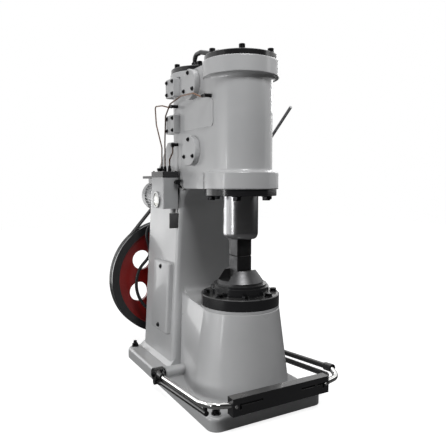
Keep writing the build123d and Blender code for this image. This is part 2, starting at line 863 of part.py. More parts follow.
corner_lift = 50.0
box_tube_z = (box_low + box_high) / 2
corner_y = -treadle_front + 8
bar_end_y = corner_y + 91
bar_end_z = run_low + 78
bar_start_y = lug_y - 30
bar_slope = (bar_end_z - run_low - bar_lift) / (bar_start_y - bar_end_y)
tube_in = box_half - 19
left_corner = (-treadle_half, corner_y + 4, run_low + corner_lift)
left_in = (-tube_in, -treadle_front, box_tube_z + 2)
right_in = (tube_in, -treadle_front, box_tube_z - 3)
right_corner = (treadle_half, corner_y, run_low + corner_lift - 4)
with BuildPart() as treadle_tube:
    add(
        pipe_solid(
            [
                (-treadle_half, sleeve_y, run_low),
                (-treadle_half, sleeve_y - 24, run_low),
                (-treadle_half, corner_y + 96, run_low + 25),
                left_corner,
                left_in,
                right_in,
                right_corner,
                (treadle_half, bar_end_y - 30, bar_end_z + 30 * bar_slope),
                (treadle_half, bar_end_y, bar_end_z),
            ],
            34,
            tube_r,
        )
    )
save(treadle_tube.part, "treadle_tube")

low_bar_z = run_low + 28
with BuildPart() as treadle_side_bars:
    add(
        pipe_solid(
            [
                (bar_x, lug_y - 8, run_low + bar_lift),
                (bar_x, bar_start_y, run_low + bar_lift),
                (bar_x, bar_end_y, bar_end_z),
            ],
            26,
            tube_r,
        )
    )
    add(
        pipe_solid(
            [
                (treadle_half, sleeve_y, run_low),
                (treadle_half, sleeve_y - 24, run_low),
                (treadle_half, corner_y + 52, low_bar_z),
                (tube_in, corner_y + 44, low_bar_z + 6),
                (tube_in, -treadle_front + tube_r + 0.3, box_tube_z - 3),
            ],
            18,
            tube_r,
        )
    )
save(treadle_side_bars.part, "treadle_side_bars")

slot_rise = 8.0
with BuildPart() as treadle_box:
    with BuildSketch(Plane.YZ):
        with BuildLine():
            Polyline(
                (-box_front, box_low),
                (-box_front + box_depth, box_low),
                (-box_front + box_depth, box_low + sheet),
                (-box_front + sheet, box_low + sheet),
                (-box_front + sheet, box_high - sheet),
                (-box_front + box_depth, box_high - sheet),
                (-box_front + box_depth, box_high),
                (-box_front, box_high),
                close=True,
            )
        make_face()
    extrude(amount=box_half, both=True)
    for side in (-1, 1):
        with BuildSketch(Plane.YZ.offset(side * box_half)):
            with Locations((-box_front + box_depth / 2, (box_low + box_high) / 2)):
                Rectangle(box_depth, box_high - box_low)
        extrude(amount=-side * sheet)
    for corner, inner in ((left_corner, left_in), (right_corner, right_in)):
        bore_dir = Vector(*inner) - Vector(*corner)
        with BuildSketch(Plane(origin=corner, z_dir=bore_dir)):
            Circle(tube_r + 0.3)
        extrude(amount=bore_dir.length, mode=Mode.SUBTRACT)
    slot_z = box_low + 38
    with BuildSketch(Plane.XZ.offset(box_front)):
        with Locations((-box_half + 75, slot_z)):
            Rectangle(96, slot_rise)
        with Locations((-box_half + 31, slot_z - 7)):
            Rectangle(slot_rise, slot_rise + 14)
        with Locations((box_half - 98, slot_z)):
            Rectangle(62, slot_rise)
        with Locations((box_half - 38, slot_z)):
            Rectangle(34, slot_rise)
        with Locations((box_half - 25, slot_z - 7)):
            Rectangle(slot_rise, slot_rise + 14)
    extrude(amount=-sheet, mode=Mode.SUBTRACT)
save(treadle_box.part, "treadle_box")

# Crankshaft bearing housing, shaft and flywheel
housing_depth = 50.0
with BuildPart() as bearing_housing:
    with BuildSketch(Plane.XZ.offset(-column_rear)):
        with Locations((0, wheel_z)):
            Circle(118)
    extrude(amount=-18)
    with BuildSketch(Plane.XZ.offset(-column_rear)):
        with Locations((0, wheel_z)):
            Circle(74)
    extrude(amount=-housing_depth)
    with BuildSketch(Plane.XZ.offset(-column_rear - 8)):
        with Locations((0, wheel_z)):
            Circle(shaft_r + running_gap)
    extrude(amount=-housing_depth, mode=Mode.SUBTRACT)
save(bearing_housing.part, "bearing_housing")

hub_front = wheel_front - 8
hub_rear = wheel_front + wheel_width + 10
with BuildPart() as crankshaft:
    with BuildSketch(Plane.XZ.offset(-column_rear - 10)):
        with Locations((0, wheel_z)):
            Circle(shaft_r)
    extrude(amount=-(hub_rear + 12 - column_rear - 10))
    with BuildSketch(Plane.XZ.offset(-hub_front)):
        with Locations((0, wheel_z)):
            Circle(shaft_r + 12)
    extrude(amount=12)
save(crankshaft.part, "crankshaft")

belt_width = 13.0
belt_centres = (wheel_front + 19, wheel_front + 37)
groove_depth = 11.0
with BuildPart() as flywheel:
    with BuildSketch(Plane.XZ.offset(-wheel_front)):
        with Locations((0, wheel_z)):
            Circle(wheel_r)
            Circle(wheel_r - rim_thickness, mode=Mode.SUBTRACT)
    extrude(amount=-wheel_width)
    with BuildSketch(Plane.XZ.offset(-wheel_front - 16)):
        with Locations((0, wheel_z)):
            Circle(wheel_r - rim_thickness + 1)
            with PolarLocations(wheel_hole_circle, wheel_holes, start_angle=24):
                Circle(wheel_hole_r, mode=Mode.SUBTRACT)
    extrude(amount=-20)
    with BuildSketch(Plane.XZ.offset(-hub_front)):
        with Locations((0, wheel_z)):
            Circle(62)
    extrude(amount=-(hub_rear - hub_front))
    with BuildSketch(Plane.XZ.offset(-hub_front)):
        with Locations((0, wheel_z)):
            Circle(shaft_r + 0.3)
    extrude(amount=-(hub_rear - hub_front), mode=Mode.SUBTRACT)
    for centre in belt_centres:
        with BuildSketch(Plane.XZ.offset(-centre + belt_width / 2 + 1)):
            with Locations((0, wheel_z)):
                Circle(wheel_r + 5)
                Circle(wheel_r - groove_depth, mode=Mode.SUBTRACT)
        extrude(amount=-belt_width - 2, mode=Mode.SUBTRACT)
save(flywheel.part, "flywheel")

# Motor on a bracket behind the column, its pulley and two belts
belt_low = wheel_r - groove_depth + 0.6
belt_high = belt_low + 9
small_low = pulley_r + 0.6
with BuildPart() as drive_belts:
    for centre in belt_centres:
        with BuildSketch(Plane.XZ.offset(-centre + belt_width / 2)):
            with Locations((0, wheel_z)):
                Circle(belt_high)
            with Locations((motor_x, motor_z)):
                Circle(small_low + 9)
            make_hull()
        extrude(amount=-belt_width)
        with BuildSketch(Plane.XZ.offset(-centre + belt_width / 2)):
            with Locations((0, wheel_z)):
                Circle(belt_low)
            with Locations((motor_x, motor_z)):
                Circle(small_low)
            make_hull()
        extrude(amount=-belt_width, mode=Mode.SUBTRACT)
save(drive_belts.part, "drive_belts")

motor_front = wheel_front + wheel_width + 24
motor_length = 190.0
with BuildPart() as motor_pulley:
    with BuildSketch(Plane.XZ.offset(-wheel_front - 4)):
        with Locations((motor_x, motor_z)):
            Circle(pulley_r + 14)
    extrude(amount=-(wheel_width - 4))
    for centre in belt_centres:
        with BuildSketch(Plane.XZ.offset(-centre + belt_width / 2 + 1)):
            with Locations((motor_x, motor_z)):
                Circle(pulley_r + 20)
                Circle(pulley_r, mode=Mode.SUBTRACT)
        extrude(amount=-belt_width - 2, mode=Mode.SUBTRACT)
save(motor_pulley.part, "motor_pulley")

fin_height = 8.0
fin_count = 28
with BuildPart() as motor:
    with BuildSketch(Plane.XZ.offset(-motor_front)):
        with Locations((motor_x, motor_z)):
            Circle(motor_r - 2)
    extrude(amount=-22)
    with BuildSketch(Plane.XZ.offset(-motor_front)):
        with Locations((motor_x, motor_z)):
            Circle(motor_r - fin_height)
            with PolarLocations(motor_r - fin_height - 2, fin_count, start_angle=6.4):
                Rectangle(2 * fin_height + 4, 3)
    extrude(amount=-(motor_length - 40))
    with BuildSketch(Plane.XZ.offset(-motor_front - motor_length + 44)):
        with Locations((motor_x, motor_z)):
            Circle(motor_r)
    extrude(amount=-44)
    with BuildSketch(Plane.XZ.offset(-wheel_front - wheel_width)):
        with Locations((motor_x, motor_z)):
            Circle(14)
    extrude(amount=-(motor_front - wheel_front - wheel_width))
    with BuildSketch(Plane.XY.offset(motor_z + motor_r - 12)):
        with Locations((motor_x, motor_front + motor_length / 2 - 12)):
            Rectangle(120, 110)
    extrude(amount=26)
save(motor.part, "motor")

shelf_z = motor_z + motor_r + 14
with BuildPart() as motor_bracket:
    with BuildSketch(Plane.XY.offset(shelf_z)):
        with Locations((motor_x, (column_rear + motor_front + motor_length) / 2)):
            Rectangle(150, motor_front + motor_length - column_rear)
    extrude(amount=14)
    with BuildSketch(Plane.XZ.offset(-column_rear)):
        with Locations((motor_x, shelf_z - 60)):
            Rectangle(150, 120)
    extrude(amount=-14)
save(motor_bracket.part, "motor_bracket")

# Dark conduit that loops beside the flywheel, its points in shares of the wheel's
# radius from the wheel's centre
conduit_y = column_rear + 32
conduit_r = 8.0
conduit_shares = [
    (-0.293, 0.997),
    (-0.393, 0.923),
    (-0.440, 0.757),
    (-0.393, 0.440),
    (-0.540, 0.257),
    (-0.627, 0.057),
    (-0.627, -0.160),
    (-0.540, -0.370),
    (-0.393, -0.527),
]
conduit_spots = [(wheel_r * x, wheel_z + wheel_r * z) for x, z in conduit_shares]
with BuildPart() as conduit:
    with BuildLine(Plane.XZ.offset(-conduit_y)) as conduit_line:
        Spline(*conduit_spots)
    with BuildSketch(Plane(origin=conduit_line.line @ 0, z_dir=conduit_line.line % 0)):
        Circle(conduit_r)
    sweep(path=conduit_line.line)
    for spot in (conduit_spots[0], conduit_spots[-1]):
        with BuildSketch(Plane.XZ.offset(-column_rear)):
            with Locations((spot[0] + 4, spot[1])):
                Circle(15)
        extrude(amount=-(conduit_y - column_rear + 12))
save(conduit.part, "conduit")
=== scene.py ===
import math

import bmesh
import bpy
from mathutils import Matrix, Vector


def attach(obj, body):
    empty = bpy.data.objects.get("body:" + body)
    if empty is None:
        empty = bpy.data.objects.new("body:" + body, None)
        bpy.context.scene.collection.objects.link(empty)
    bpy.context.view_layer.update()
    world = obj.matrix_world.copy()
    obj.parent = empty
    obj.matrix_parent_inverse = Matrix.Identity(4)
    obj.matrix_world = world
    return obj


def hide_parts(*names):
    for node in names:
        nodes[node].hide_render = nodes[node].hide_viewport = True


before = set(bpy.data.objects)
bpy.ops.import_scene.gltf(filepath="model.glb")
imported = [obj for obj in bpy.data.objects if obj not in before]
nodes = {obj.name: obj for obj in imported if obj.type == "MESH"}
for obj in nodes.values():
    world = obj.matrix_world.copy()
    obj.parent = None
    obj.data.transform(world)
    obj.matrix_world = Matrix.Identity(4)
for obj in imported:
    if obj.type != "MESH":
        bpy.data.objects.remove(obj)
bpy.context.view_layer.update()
print("frame loaded,", len(nodes), "nodes")

camera = {
    "place": (-1.03885, -1.68272, 0.87706),
    "yaw": 29.68,  # degrees from +Y towards +X
    "pitch": -4.72,
    "roll": 0.07,
    "lens": 39.969,
    "sensor": 36.0,
}


def makeCamera(c):
    yaw, pitch, roll = (math.radians(c[k]) for k in ("yaw", "pitch", "roll"))
    ahead = Vector((math.sin(yaw) * math.cos(pitch), math.cos(yaw) * math.cos(pitch), math.sin(pitch)))
    right = Vector((math.cos(yaw), -math.sin(yaw), 0.0))
    up = right.cross(ahead)
    rightRolled = right * math.cos(roll) + up * math.sin(roll)
    upRolled = up * math.cos(roll) - right * math.sin(roll)
    data = bpy.data.cameras.new("viewCamera")
    data.lens = c["lens"]
    data.sensor_width = c["sensor"]
    data.clip_start = 0.05
    data.clip_end = 60.0
    cam = bpy.data.objects.new("viewCamera", data)
    turn = Matrix((rightRolled, upRolled, -ahead)).transposed().to_4x4()
    cam.matrix_world = Matrix.Translation(c["place"]) @ turn
    bpy.context.scene.collection.objects.link(cam)
    bpy.context.scene.camera = cam


makeCamera(camera)
bpy.context.scene.view_settings.view_transform = "Standard"

studio = {
    "worldLight": 0.13,
    "floorGrey": 0.50,
    "floorDark": 0.10,
    "floorGlow": 0.80,
    "floorSize": 16.0,
    "glowNear": 1.0,  # metres from the machine where the paper starts to turn white
    "glowFar": 3.2,
}

lamps = {  # place, aim, width, height, power
    "keyLeft": ((-3.2, 0.4, 0.5), (0.0, 0.2, 0.2), 1.9, 1.4, 68.0),
    "fillHigh": ((-0.5, -2.2, 3.3), (0.0, 0.0, 1.0), 1.3, 1.0, 76.0),
    "kickRight": ((2.5, -1.7, 2.3), (0.0, 0.0, 1.2), 0.8, 1.0, 5.0),
    "rimRight": ((2.6, 1.4, 2.3), (0.0, 0.0, 0.9), 0.6, 1.7, 22.0),
    "topSoft": ((-0.2, 0.5, 3.6), (0.0, 0.3, 0.0), 2.2, 2.2, 22.0),
}


def aimAt(place, target):
    return (Vector(target) - Vector(place)).to_track_quat("-Z", "Y").to_matrix().to_4x4()


def makeLamps(table):
    for name, (place, target, width, height, power) in table.items():
        data = bpy.data.lights.new(name, "AREA")
        data.shape = "RECTANGLE"
        data.size = width
        data.size_y = height
        data.energy = power
        lamp = bpy.data.objects.new(name, data)
        lamp.matrix_world = Matrix.Translation(place) @ aimAt(place, target)
        bpy.context.scene.collection.objects.link(lamp)


def makeWorld(s):
    world = bpy.data.worlds.new("studioWorld")
    bpy.context.scene.world = world
    world.use_nodes = True
    tree = world.node_tree
    tree.nodes.clear()
    out = tree.nodes.new("ShaderNodeOutputWorld")
    back = tree.nodes.new("ShaderNodeBackground")
    back.inputs["Color"].default_value = (1, 1, 1, 1)
    path = tree.nodes.new("ShaderNodeLightPath")
    addGloss = tree.nodes.new("ShaderNodeMath")
    addGloss.operation = "MAXIMUM"
    addGlass = tree.nodes.new("ShaderNodeMath")
    addGlass.operation = "MAXIMUM"
    level = tree.nodes.new("ShaderNodeMapRange")
    level.inputs["To Min"].default_value = s["worldLight"]
    level.inputs["To Max"].default_value = 1.0
    tree.links.new(path.outputs["Is Camera Ray"], addGloss.inputs[0])
    tree.links.new(path.outputs["Is Glossy Ray"], addGloss.inputs[1])
    tree.links.new(addGloss.outputs[0], addGlass.inputs[0])
    tree.links.new(path.outputs["Is Transmission Ray"], addGlass.inputs[1])
    tree.links.new(addGlass.outputs[0], level.inputs["Value"])
    tree.links.new(level.outputs["Result"], back.inputs["Strength"])
    tree.links.new(back.outputs[0], out.inputs["Surface"])


def newGroup(name, inputs, outputs):
    group = bpy.data.node_groups.new(name, "ShaderNodeTree")
    for label, value in inputs:
        socket = group.interface.new_socket(name=label, in_out="INPUT", socket_type="NodeSocketFloat")
        socket.default_value = value
    for label, kind in outputs:
        group.interface.new_socket(name=label, in_out="OUTPUT", socket_type=kind)
    return group, group.nodes.new("NodeGroupInput"), group.nodes.new("NodeGroupOutput")


def mathNode(tree, operation, first, second=None):
    node = tree.nodes.new("ShaderNodeMath")
    node.operation = operation
    for i, value in enumerate((first, second)):
        if value is None:
            continue
        if isinstance(value, (int, float)):
            node.inputs[i].default_value = value
        else:
            tree.links.new(value, node.inputs[i])
    return node.outputs[0]


def noiseNode(tree, vector, scale, detail=2.0, roughness=0.5):
    node = tree.nodes.new("ShaderNodeTexNoise")
    node.inputs["Detail"].default_value = detail
    node.inputs["Roughness"].default_value = roughness
    tree.links.new(vector, node.inputs["Vector"])
    if isinstance(scale, (int, float)):
        node.inputs["Scale"].default_value = scale
    else:
        tree.links.new(scale, node.inputs["Scale"])
    return node.outputs["Fac"]


def rangeNode(tree, value, low, high, toLow=0.0, toHigh=1.0):
    node = tree.nodes.new("ShaderNodeMapRange")
    tree.links.new(value, node.inputs["Value"])
    for label, v in (("From Min", low), ("From Max", high), ("To Min", toLow), ("To Max", toHigh)):
        if isinstance(v, (int, float)):
            node.inputs[label].default_value = v
        else:
            tree.links.new(v, node.inputs[label])
    return node.outputs["Result"]


def objectPlace(tree):
    return tree.nodes.new("ShaderNodeTexCoord").outputs["Object"]


def plainSheet(name, points, faces, colour):
    mesh = bpy.data.meshes.new(name)
    mesh.from_pydata(points, [], faces)
    obj = bpy.data.objects.new(name, mesh)
    bpy.context.scene.collection.objects.link(obj)
    mat = bpy.data.materials.new(name + "Cloth")
    mat.use_nodes = True
    shader = mat.node_tree.nodes["Principled BSDF"]
    shader.inputs["Base Color"].default_value = colour + (1,)
    shader.inputs["Roughness"].default_value = 1.0
    shader.inputs["Specular IOR Level"].default_value = 0.0
    mesh.materials.append(mat)
    return obj, shader


def makeFloor(s):
    # Paper that the camera sees as white with a soft shadow, and that gloss sees as grey
    half = s["floorSize"] / 2
    corners = [(-half, -half, 0), (half, -half, 0), (half, half, 0), (-half, half, 0)]
    floor, shader = plainSheet("studioFloor", corners, [(0, 1, 2, 3)], (0.5, 0.5, 0.5))
    tree = floor.data.materials[0].node_tree
    path = tree.nodes.new("ShaderNodeLightPath")
    seen = mathNode(tree, "MAXIMUM", path.outputs["Is Camera Ray"], path.outputs["Is Transmission Ray"])
    grey = rangeNode(tree, seen, 0.0, 1.0, s["floorDark"], s["floorGrey"])
    tree.links.new(grey, shader.inputs["Base Color"])
    place = tree.nodes.new("ShaderNodeTexCoord").outputs["Object"]
    away = tree.nodes.new("ShaderNodeVectorMath")
    away.operation = "LENGTH"
    tree.links.new(place, away.inputs[0])
    glow = rangeNode(tree, away.outputs["Value"], s["glowNear"], s["glowFar"], s["floorGlow"], 1.0)
    shader.inputs["Emission Color"].default_value = (1, 1, 1, 1)
    tree.links.new(mathNode(tree, "MULTIPLY", glow, seen), shader.inputs["Emission Strength"])


def curvedScreen(name, low, high, radius, bottom, top, grey, glow):
    # Part of an upright cylinder round the machine, seen only in gloss, as in a studio
    steps = 16
    points = []
    for z in (bottom, top):
        for i in range(steps + 1):
            a = math.radians(low + (high - low) * i / steps)
            points.append((radius * math.cos(a), radius * math.sin(a), z))
    faces = [(i, i + 1, i + steps + 2, i + steps + 1) for i in range(steps)]
    screen, shader = plainSheet(name, points, faces, (grey,) * 3)
    if glow:
        shader.inputs["Emission Color"].default_value = (1, 1, 1, 1)
        shader.inputs["Emission Strength"].default_value = glow
    screen.visible_camera = False
    screen.visible_diffuse = False
    screen.visible_shadow = False
    screen.visible_transmission = False


screens = {  # degrees from and to, radius, bottom, top, grey, glow
    "darkScreen": (-172.0, -26.0, 3.4, 0.0, 5.4, 0.06, 0.0),
    "lowDarkScreen": (-26.0, 75.0, 3.4, 0.0, 0.8, 0.06, 0.0),
    "paleScreen": (88.0, 138.0, 2.5, 0.0, 0.85, 0.8, 1.8),
    "upperScreen": (88.0, 138.0, 2.5, 0.86, 3.0, 0.5, 0.55),
    "midScreen": (138.0, 160.0, 2.5, 0.0, 3.0, 0.5, 0.55),
    "greyScreen": (160.0, 186.0, 2.5, 0.0, 3.0, 0.3, 0.30),
}

makeLamps(lamps)
makeWorld(studio)
makeFloor(studio)
for name, values in screens.items():
    curvedScreen(name, *values)
print("studio ready")


def makeCastSkin():
    # Filled and sprayed casting: slow waves, orange peel and a few pits
    group, given, out = newGroup(
        "castSkin",
        [("Waves", 0.5), ("Peel", 0.3), ("Pits", 0.3)],
        [("Height", "NodeSocketFloat"), ("Mottle", "NodeSocketFloat")],
    )
    place = objectPlace(group)
    waves = noiseNode(group, place, 9.0, 2.0)
    peel = noiseNode(group, place, 520.0, 1.0)
    pitNoise = noiseNode(group, place, 130.0, 2.0)
    pits = rangeNode(group, pitNoise, 0.24, 0.33, 1.0, 0.0)
    a = mathNode(group, "MULTIPLY", waves, given.outputs["Waves"])
    b = mathNode(group, "MULTIPLY", peel, given.outputs["Peel"])
    c = mathNode(group, "MULTIPLY", pits, given.outputs["Pits"])
    total = mathNode(group, "SUBTRACT", mathNode(group, "ADD", a, b), c)
    group.links.new(total, out.inputs["Height"])
    mottle = noiseNode(group, place, 3.2, 4.0, 0.6)
    group.links.new(mottle, out.inputs["Mottle"])
    return group


def makeEdgeWear():
    # Mask of sharp edges, from how a rounded normal leaves the real one
    group, given, out = newGroup(
        "edgeWear", [("Width", 0.0015), ("Break", 60.0)], [("Mask", "NodeSocketFloat")]
    )
    bevel = group.nodes.new("ShaderNodeBevel")
    bevel.samples = 4
    group.links.new(given.outputs["Width"], bevel.inputs["Radius"])
    geometry = group.nodes.new("ShaderNodeNewGeometry")
    dot = group.nodes.new("ShaderNodeVectorMath")
    dot.operation = "DOT_PRODUCT"
    group.links.new(bevel.outputs[0], dot.inputs[0])
    group.links.new(geometry.outputs["Normal"], dot.inputs[1])
    edge = rangeNode(group, dot.outputs["Value"], 0.99, 0.80, 0.0, 1.0)
    broken = rangeNode(group, noiseNode(group, objectPlace(group), given.outputs["Break"], 4.0, 0.7), 0.46, 0.60)
    group.links.new(mathNode(group, "MULTIPLY", edge, broken), out.inputs["Mask"])
    return group


def makeDust():
    # Pale dust and oil haze on faces that look up
    group, given, out = newGroup(
        "settledDust", [("Amount", 0.3), ("Patch", 7.0)], [("Mask", "NodeSocketFloat")]
    )
    geometry = group.nodes.new("ShaderNodeNewGeometry")
    split = group.nodes.new("ShaderNodeSeparateXYZ")
    group.links.new(geometry.outputs["Normal"], split.inputs[0])
    up = rangeNode(group, split.outputs["Z"], 0.55, 1.0)
    patch = rangeNode(group, noiseNode(group, objectPlace(group), given.outputs["Patch"], 5.0, 0.65), 0.35, 0.75)
    group.links.new(
        mathNode(group, "MULTIPLY", mathNode(group, "MULTIPLY", up, patch), given.outputs["Amount"]),
        out.inputs["Mask"],
    )
    return group


def makeGrindMarks():
    # Fine marks along or across Z, for turned and ground metal
    group, given, out = newGroup(
        "grindMarks",
        [("Across", 900.0), ("Along", 6.0)],
        [("Height", "NodeSocketFloat"), ("Streak", "NodeSocketFloat")],
    )
    place = objectPlace(group)
    split = group.nodes.new("ShaderNodeSeparateXYZ")
    group.links.new(place, split.inputs[0])
    join = group.nodes.new("ShaderNodeCombineXYZ")
    group.links.new(mathNode(group, "MULTIPLY", split.outputs["X"], given.outputs["Along"]), join.inputs["X"])
    group.links.new(mathNode(group, "MULTIPLY", split.outputs["Y"], given.outputs["Along"]), join.inputs["Y"])
    group.links.new(mathNode(group, "MULTIPLY", split.outputs["Z"], given.outputs["Across"]), join.inputs["Z"])
    marks = noiseNode(group, join.outputs[0], 1.0, 3.0, 0.6)
    group.links.new(marks, out.inputs["Height"])
    group.links.new(rangeNode(group, marks, 0.3, 0.7), out.inputs["Streak"])
    return group


castSkin = makeCastSkin()
edgeWear = makeEdgeWear()
settledDust = makeDust()
grindMarks = makeGrindMarks()


def useGroup(tree, group, **values):
    node = tree.nodes.new("ShaderNodeGroup")
    node.node_tree = group
    for label, value in values.items():
        node.inputs[label].default_value = value
    return node


def mixColour(tree, mask, first, second):
    node = tree.nodes.new("ShaderNodeMix")
    node.data_type = "RGBA"
    for label, value in (("A", first), ("B", second)):
        socket = [s for s in node.inputs if s.name == label and s.type == "RGBA"][0]
        if isinstance(value, tuple):
            socket.default_value = value + (1,)
        else:
            tree.links.new(value, socket)
    tree.links.new(mask, node.inputs["Factor"])
    return [s for s in node.outputs if s.type == "RGBA"][0]


def newMaterial(name, fixed):
    mat = bpy.data.materials.new(name)
    mat.use_nodes = True
    shader = mat.node_tree.nodes["Principled BSDF"]
    for label, value in fixed.items():
        shader.inputs[label].default_value = value
    return mat, mat.node_tree, shader


def bumpFrom(tree, shader, height, distance, strength=1.0):
    bump = tree.nodes.new("ShaderNodeBump")
    bump.inputs["Strength"].default_value = strength
    bump.inputs["Distance"].default_value = distance
    tree.links.new(height, bump.inputs["Height"])
    tree.links.new(bump.outputs["Normal"], shader.inputs["Normal"])


paints = {  # base, darker tone, worn edge, roughness low and high, gloss coat, peel height in metres, wear
    "greyPaint": ((0.44, 0.443, 0.448), (0.40, 0.404, 0.41), (0.30, 0.30, 0.30), 0.26, 0.40, 0.45, 0.0009, 0.15),
    "blackPaint": ((0.011, 0.011, 0.012), (0.016, 0.016, 0.017), (0.15, 0.15, 0.155), 0.14, 0.26, 0.3, 0.0004, 0.5),
    # dark grey of the thin sheet under the lubricator tank: a painted shadow of the tank on the wall
    "tankShadowGrey": ((0.075, 0.075, 0.077), (0.06, 0.06, 0.062), (0.2, 0.2, 0.2), 0.30, 0.45, 0.2, 0.0004, 0.3),
    "boxGrey": ((0.34, 0.345, 0.35), (0.31, 0.315, 0.32), (0.42, 0.42, 0.42), 0.30, 0.45, 0.2, 0.0003, 0.4),
}


paintLayers = {
    "coatRoughness": 0.09,
    "peel": 0.10,
    "pits": 0.12,
    "edgeWidth": 0.0014,
    "edgeBreak": 55.0,
    "dust": 0.22,
    "dustPatch": 6.0,
    "dustColour": (0.46, 0.45, 0.43),
}


def makePaint(name, base, tone, worn, roughLow, roughHigh, coat, peel, wear):
    p = paintLayers
    fixed = {"Metallic": 0.0, "Coat Weight": coat, "Coat Roughness": p["coatRoughness"]}
    mat, tree, shader = newMaterial(name, fixed)
    skin = useGroup(tree, castSkin, Waves=1.0, Peel=p["peel"], Pits=p["pits"])
    edges = useGroup(tree, edgeWear, Width=p["edgeWidth"], Break=p["edgeBreak"])
    dust = useGroup(tree, settledDust, Amount=p["dust"], Patch=p["dustPatch"])
    tones = rangeNode(tree, skin.outputs["Mottle"], 0.35, 0.65)
    colour = mixColour(tree, tones, base, tone)
    wornMask = mathNode(tree, "MULTIPLY", edges.outputs["Mask"], wear)
    colour = mixColour(tree, wornMask, colour, worn)
    colour = mixColour(tree, dust.outputs["Mask"], colour, p["dustColour"])
    tree.links.new(colour, shader.inputs["Base Color"])
    rough = rangeNode(tree, skin.outputs["Mottle"], 0.3, 0.7, roughLow, roughHigh)
    rough = mathNode(tree, "ADD", rough, mathNode(tree, "MULTIPLY", dust.outputs["Mask"], 0.5))
    tree.links.new(rough, shader.inputs["Roughness"])
    bumpFrom(tree, shader, skin.outputs["Height"], peel)
    return mat


metals = {  # base, dark tone, roughness low and high, marks across and along, mark height
    "brightSteel": ((0.52, 0.52, 0.53), (0.46, 0.46, 0.47), 0.20, 0.27, 420.0, 5.0, 0.00001),
    "satinSteel": ((0.46, 0.46, 0.46), (0.30, 0.30, 0.30), 0.28, 0.42, 90.0, 90.0, 0.00004),
    "darkSteel": ((0.10, 0.10, 0.102), (0.05, 0.05, 0.052), 0.30, 0.52, 60.0, 60.0, 0.0003),
    "groundSteel": ((0.10, 0.10, 0.102), (0.05, 0.05, 0.052), 0.34, 0.50, 300.0, 14.0, 0.00008),
    "chromeTube": ((0.86, 0.86, 0.85), (0.78, 0.78, 0.77), 0.07, 0.16, 20.0, 20.0, 0.00003),
    "copperLine": ((0.20, 0.125, 0.09), (0.10, 0.065, 0.05), 0.26, 0.44, 60.0, 60.0, 0.00006),
    "blackFitting": ((0.035, 0.035, 0.037), (0.018, 0.018, 0.019), 0.22, 0.40, 80.0, 80.0, 0.00006),
}


def makeMetal(name, base, tone, roughLow, roughHigh, across, along, height):
    mat, tree, shader = newMaterial(name, {"Metallic": 1.0})
    marks = useGroup(tree, grindMarks, Across=across, Along=along)
    skin = useGroup(tree, castSkin)
    colour = mixColour(tree, rangeNode(tree, skin.outputs["Mottle"], 0.4, 0.62), base, tone)
    edges = useGroup(tree, edgeWear, Width=0.0010, Break=90.0)
    light = tuple(min(1.0, c * 1.6 + 0.06) for c in base)
    colour = mixColour(tree, mathNode(tree, "MULTIPLY", edges.outputs["Mask"], 0.6), colour, light)
    tree.links.new(colour, shader.inputs["Base Color"])
    rough = rangeNode(tree, marks.outputs["Streak"], 0.0, 1.0, roughLow, roughHigh)
    tree.links.new(rough, shader.inputs["Roughness"])
    bumpFrom(tree, shader, marks.outputs["Height"], height)
    return mat


finishes = {name: makePaint(name, *values) for name, values in paints.items()}
finishes.update({name: makeMetal(name, *values) for name, values in metals.items()})

wheel = {
    "axisZ": 0.373,
    "rimInner": 0.262,
    "hubOuter": 0.066,
    "rimOuter": 0.2995,
    "red": (0.30, 0.010, 0.008),
    "redDeep": (0.20, 0.007, 0.006),
    "rimBlack": (0.014, 0.014, 0.015),
    "turned": (0.10, 0.105, 0.105),
    "dustColour": (0.4, 0.39, 0.38),
    "coat": 0.35,
}


def makeWheelPaint(w):
    # Red web, black front ring and a turned dark rim, told apart by the distance from the shaft
    mat, tree, shader = newMaterial("wheelPaint", {"Coat Weight": w["coat"], "Coat Roughness": 0.15})
    split = tree.nodes.new("ShaderNodeSeparateXYZ")
    tree.links.new(objectPlace(tree), split.inputs[0])
    fromAxis = mathNode(tree, "SUBTRACT", split.outputs["Z"], w["axisZ"])
    square = mathNode(
        tree, "ADD", mathNode(tree, "POWER", split.outputs["X"], 2.0), mathNode(tree, "POWER", fromAxis, 2.0)
    )
    distance = mathNode(tree, "SQRT", square)
    skin = useGroup(tree, castSkin, Waves=1.0, Peel=0.1, Pits=0.25)
    dust = useGroup(tree, settledDust, Amount=0.15)
    red = mixColour(tree, rangeNode(tree, skin.outputs["Mottle"], 0.35, 0.65), w["red"], w["redDeep"])
    ring = mathNode(tree, "GREATER_THAN", distance, w["rimInner"])
    rim = mathNode(tree, "GREATER_THAN", distance, w["rimOuter"])
    hub = mathNode(tree, "LESS_THAN", distance, w["hubOuter"])
    colour = mixColour(tree, ring, red, w["rimBlack"])
    colour = mixColour(tree, mathNode(tree, "MAXIMUM", rim, hub), colour, w["turned"])
    colour = mixColour(tree, dust.outputs["Mask"], colour, w["dustColour"])
    tree.links.new(colour, shader.inputs["Base Color"])
    tree.links.new(mathNode(tree, "MULTIPLY", mathNode(tree, "MAXIMUM", rim, hub), 0.85), shader.inputs["Metallic"])
    tree.links.new(rangeNode(tree, skin.outputs["Mottle"], 0.3, 0.7, 0.26, 0.42), shader.inputs["Roughness"])
    bumpFrom(tree, shader, skin.outputs["Height"], 0.0008)
    return mat


def makeRubber(name, base, roughness, ribs, ribHeight):
    mat, tree, shader = newMaterial(name, {"Metallic": 0.0})
    skin = useGroup(tree, castSkin)
    colour = mixColour(tree, skin.outputs["Mottle"], base, tuple(c * 1.8 for c in base))
    tree.links.new(colour, shader.inputs["Base Color"])
    tree.links.new(
        rangeNode(tree, skin.outputs["Mottle"], 0.3, 0.7, roughness, roughness + 0.15), shader.inputs["Roughness"]
    )
    wave = tree.nodes.new("ShaderNodeTexWave")
    wave.bands_direction = "Z"
    wave.inputs["Scale"].default_value = ribs
    tree.links.new(objectPlace(tree), wave.inputs["Vector"])
    bumpFrom(tree, shader, wave.outputs["Fac"], ribHeight)
    return mat


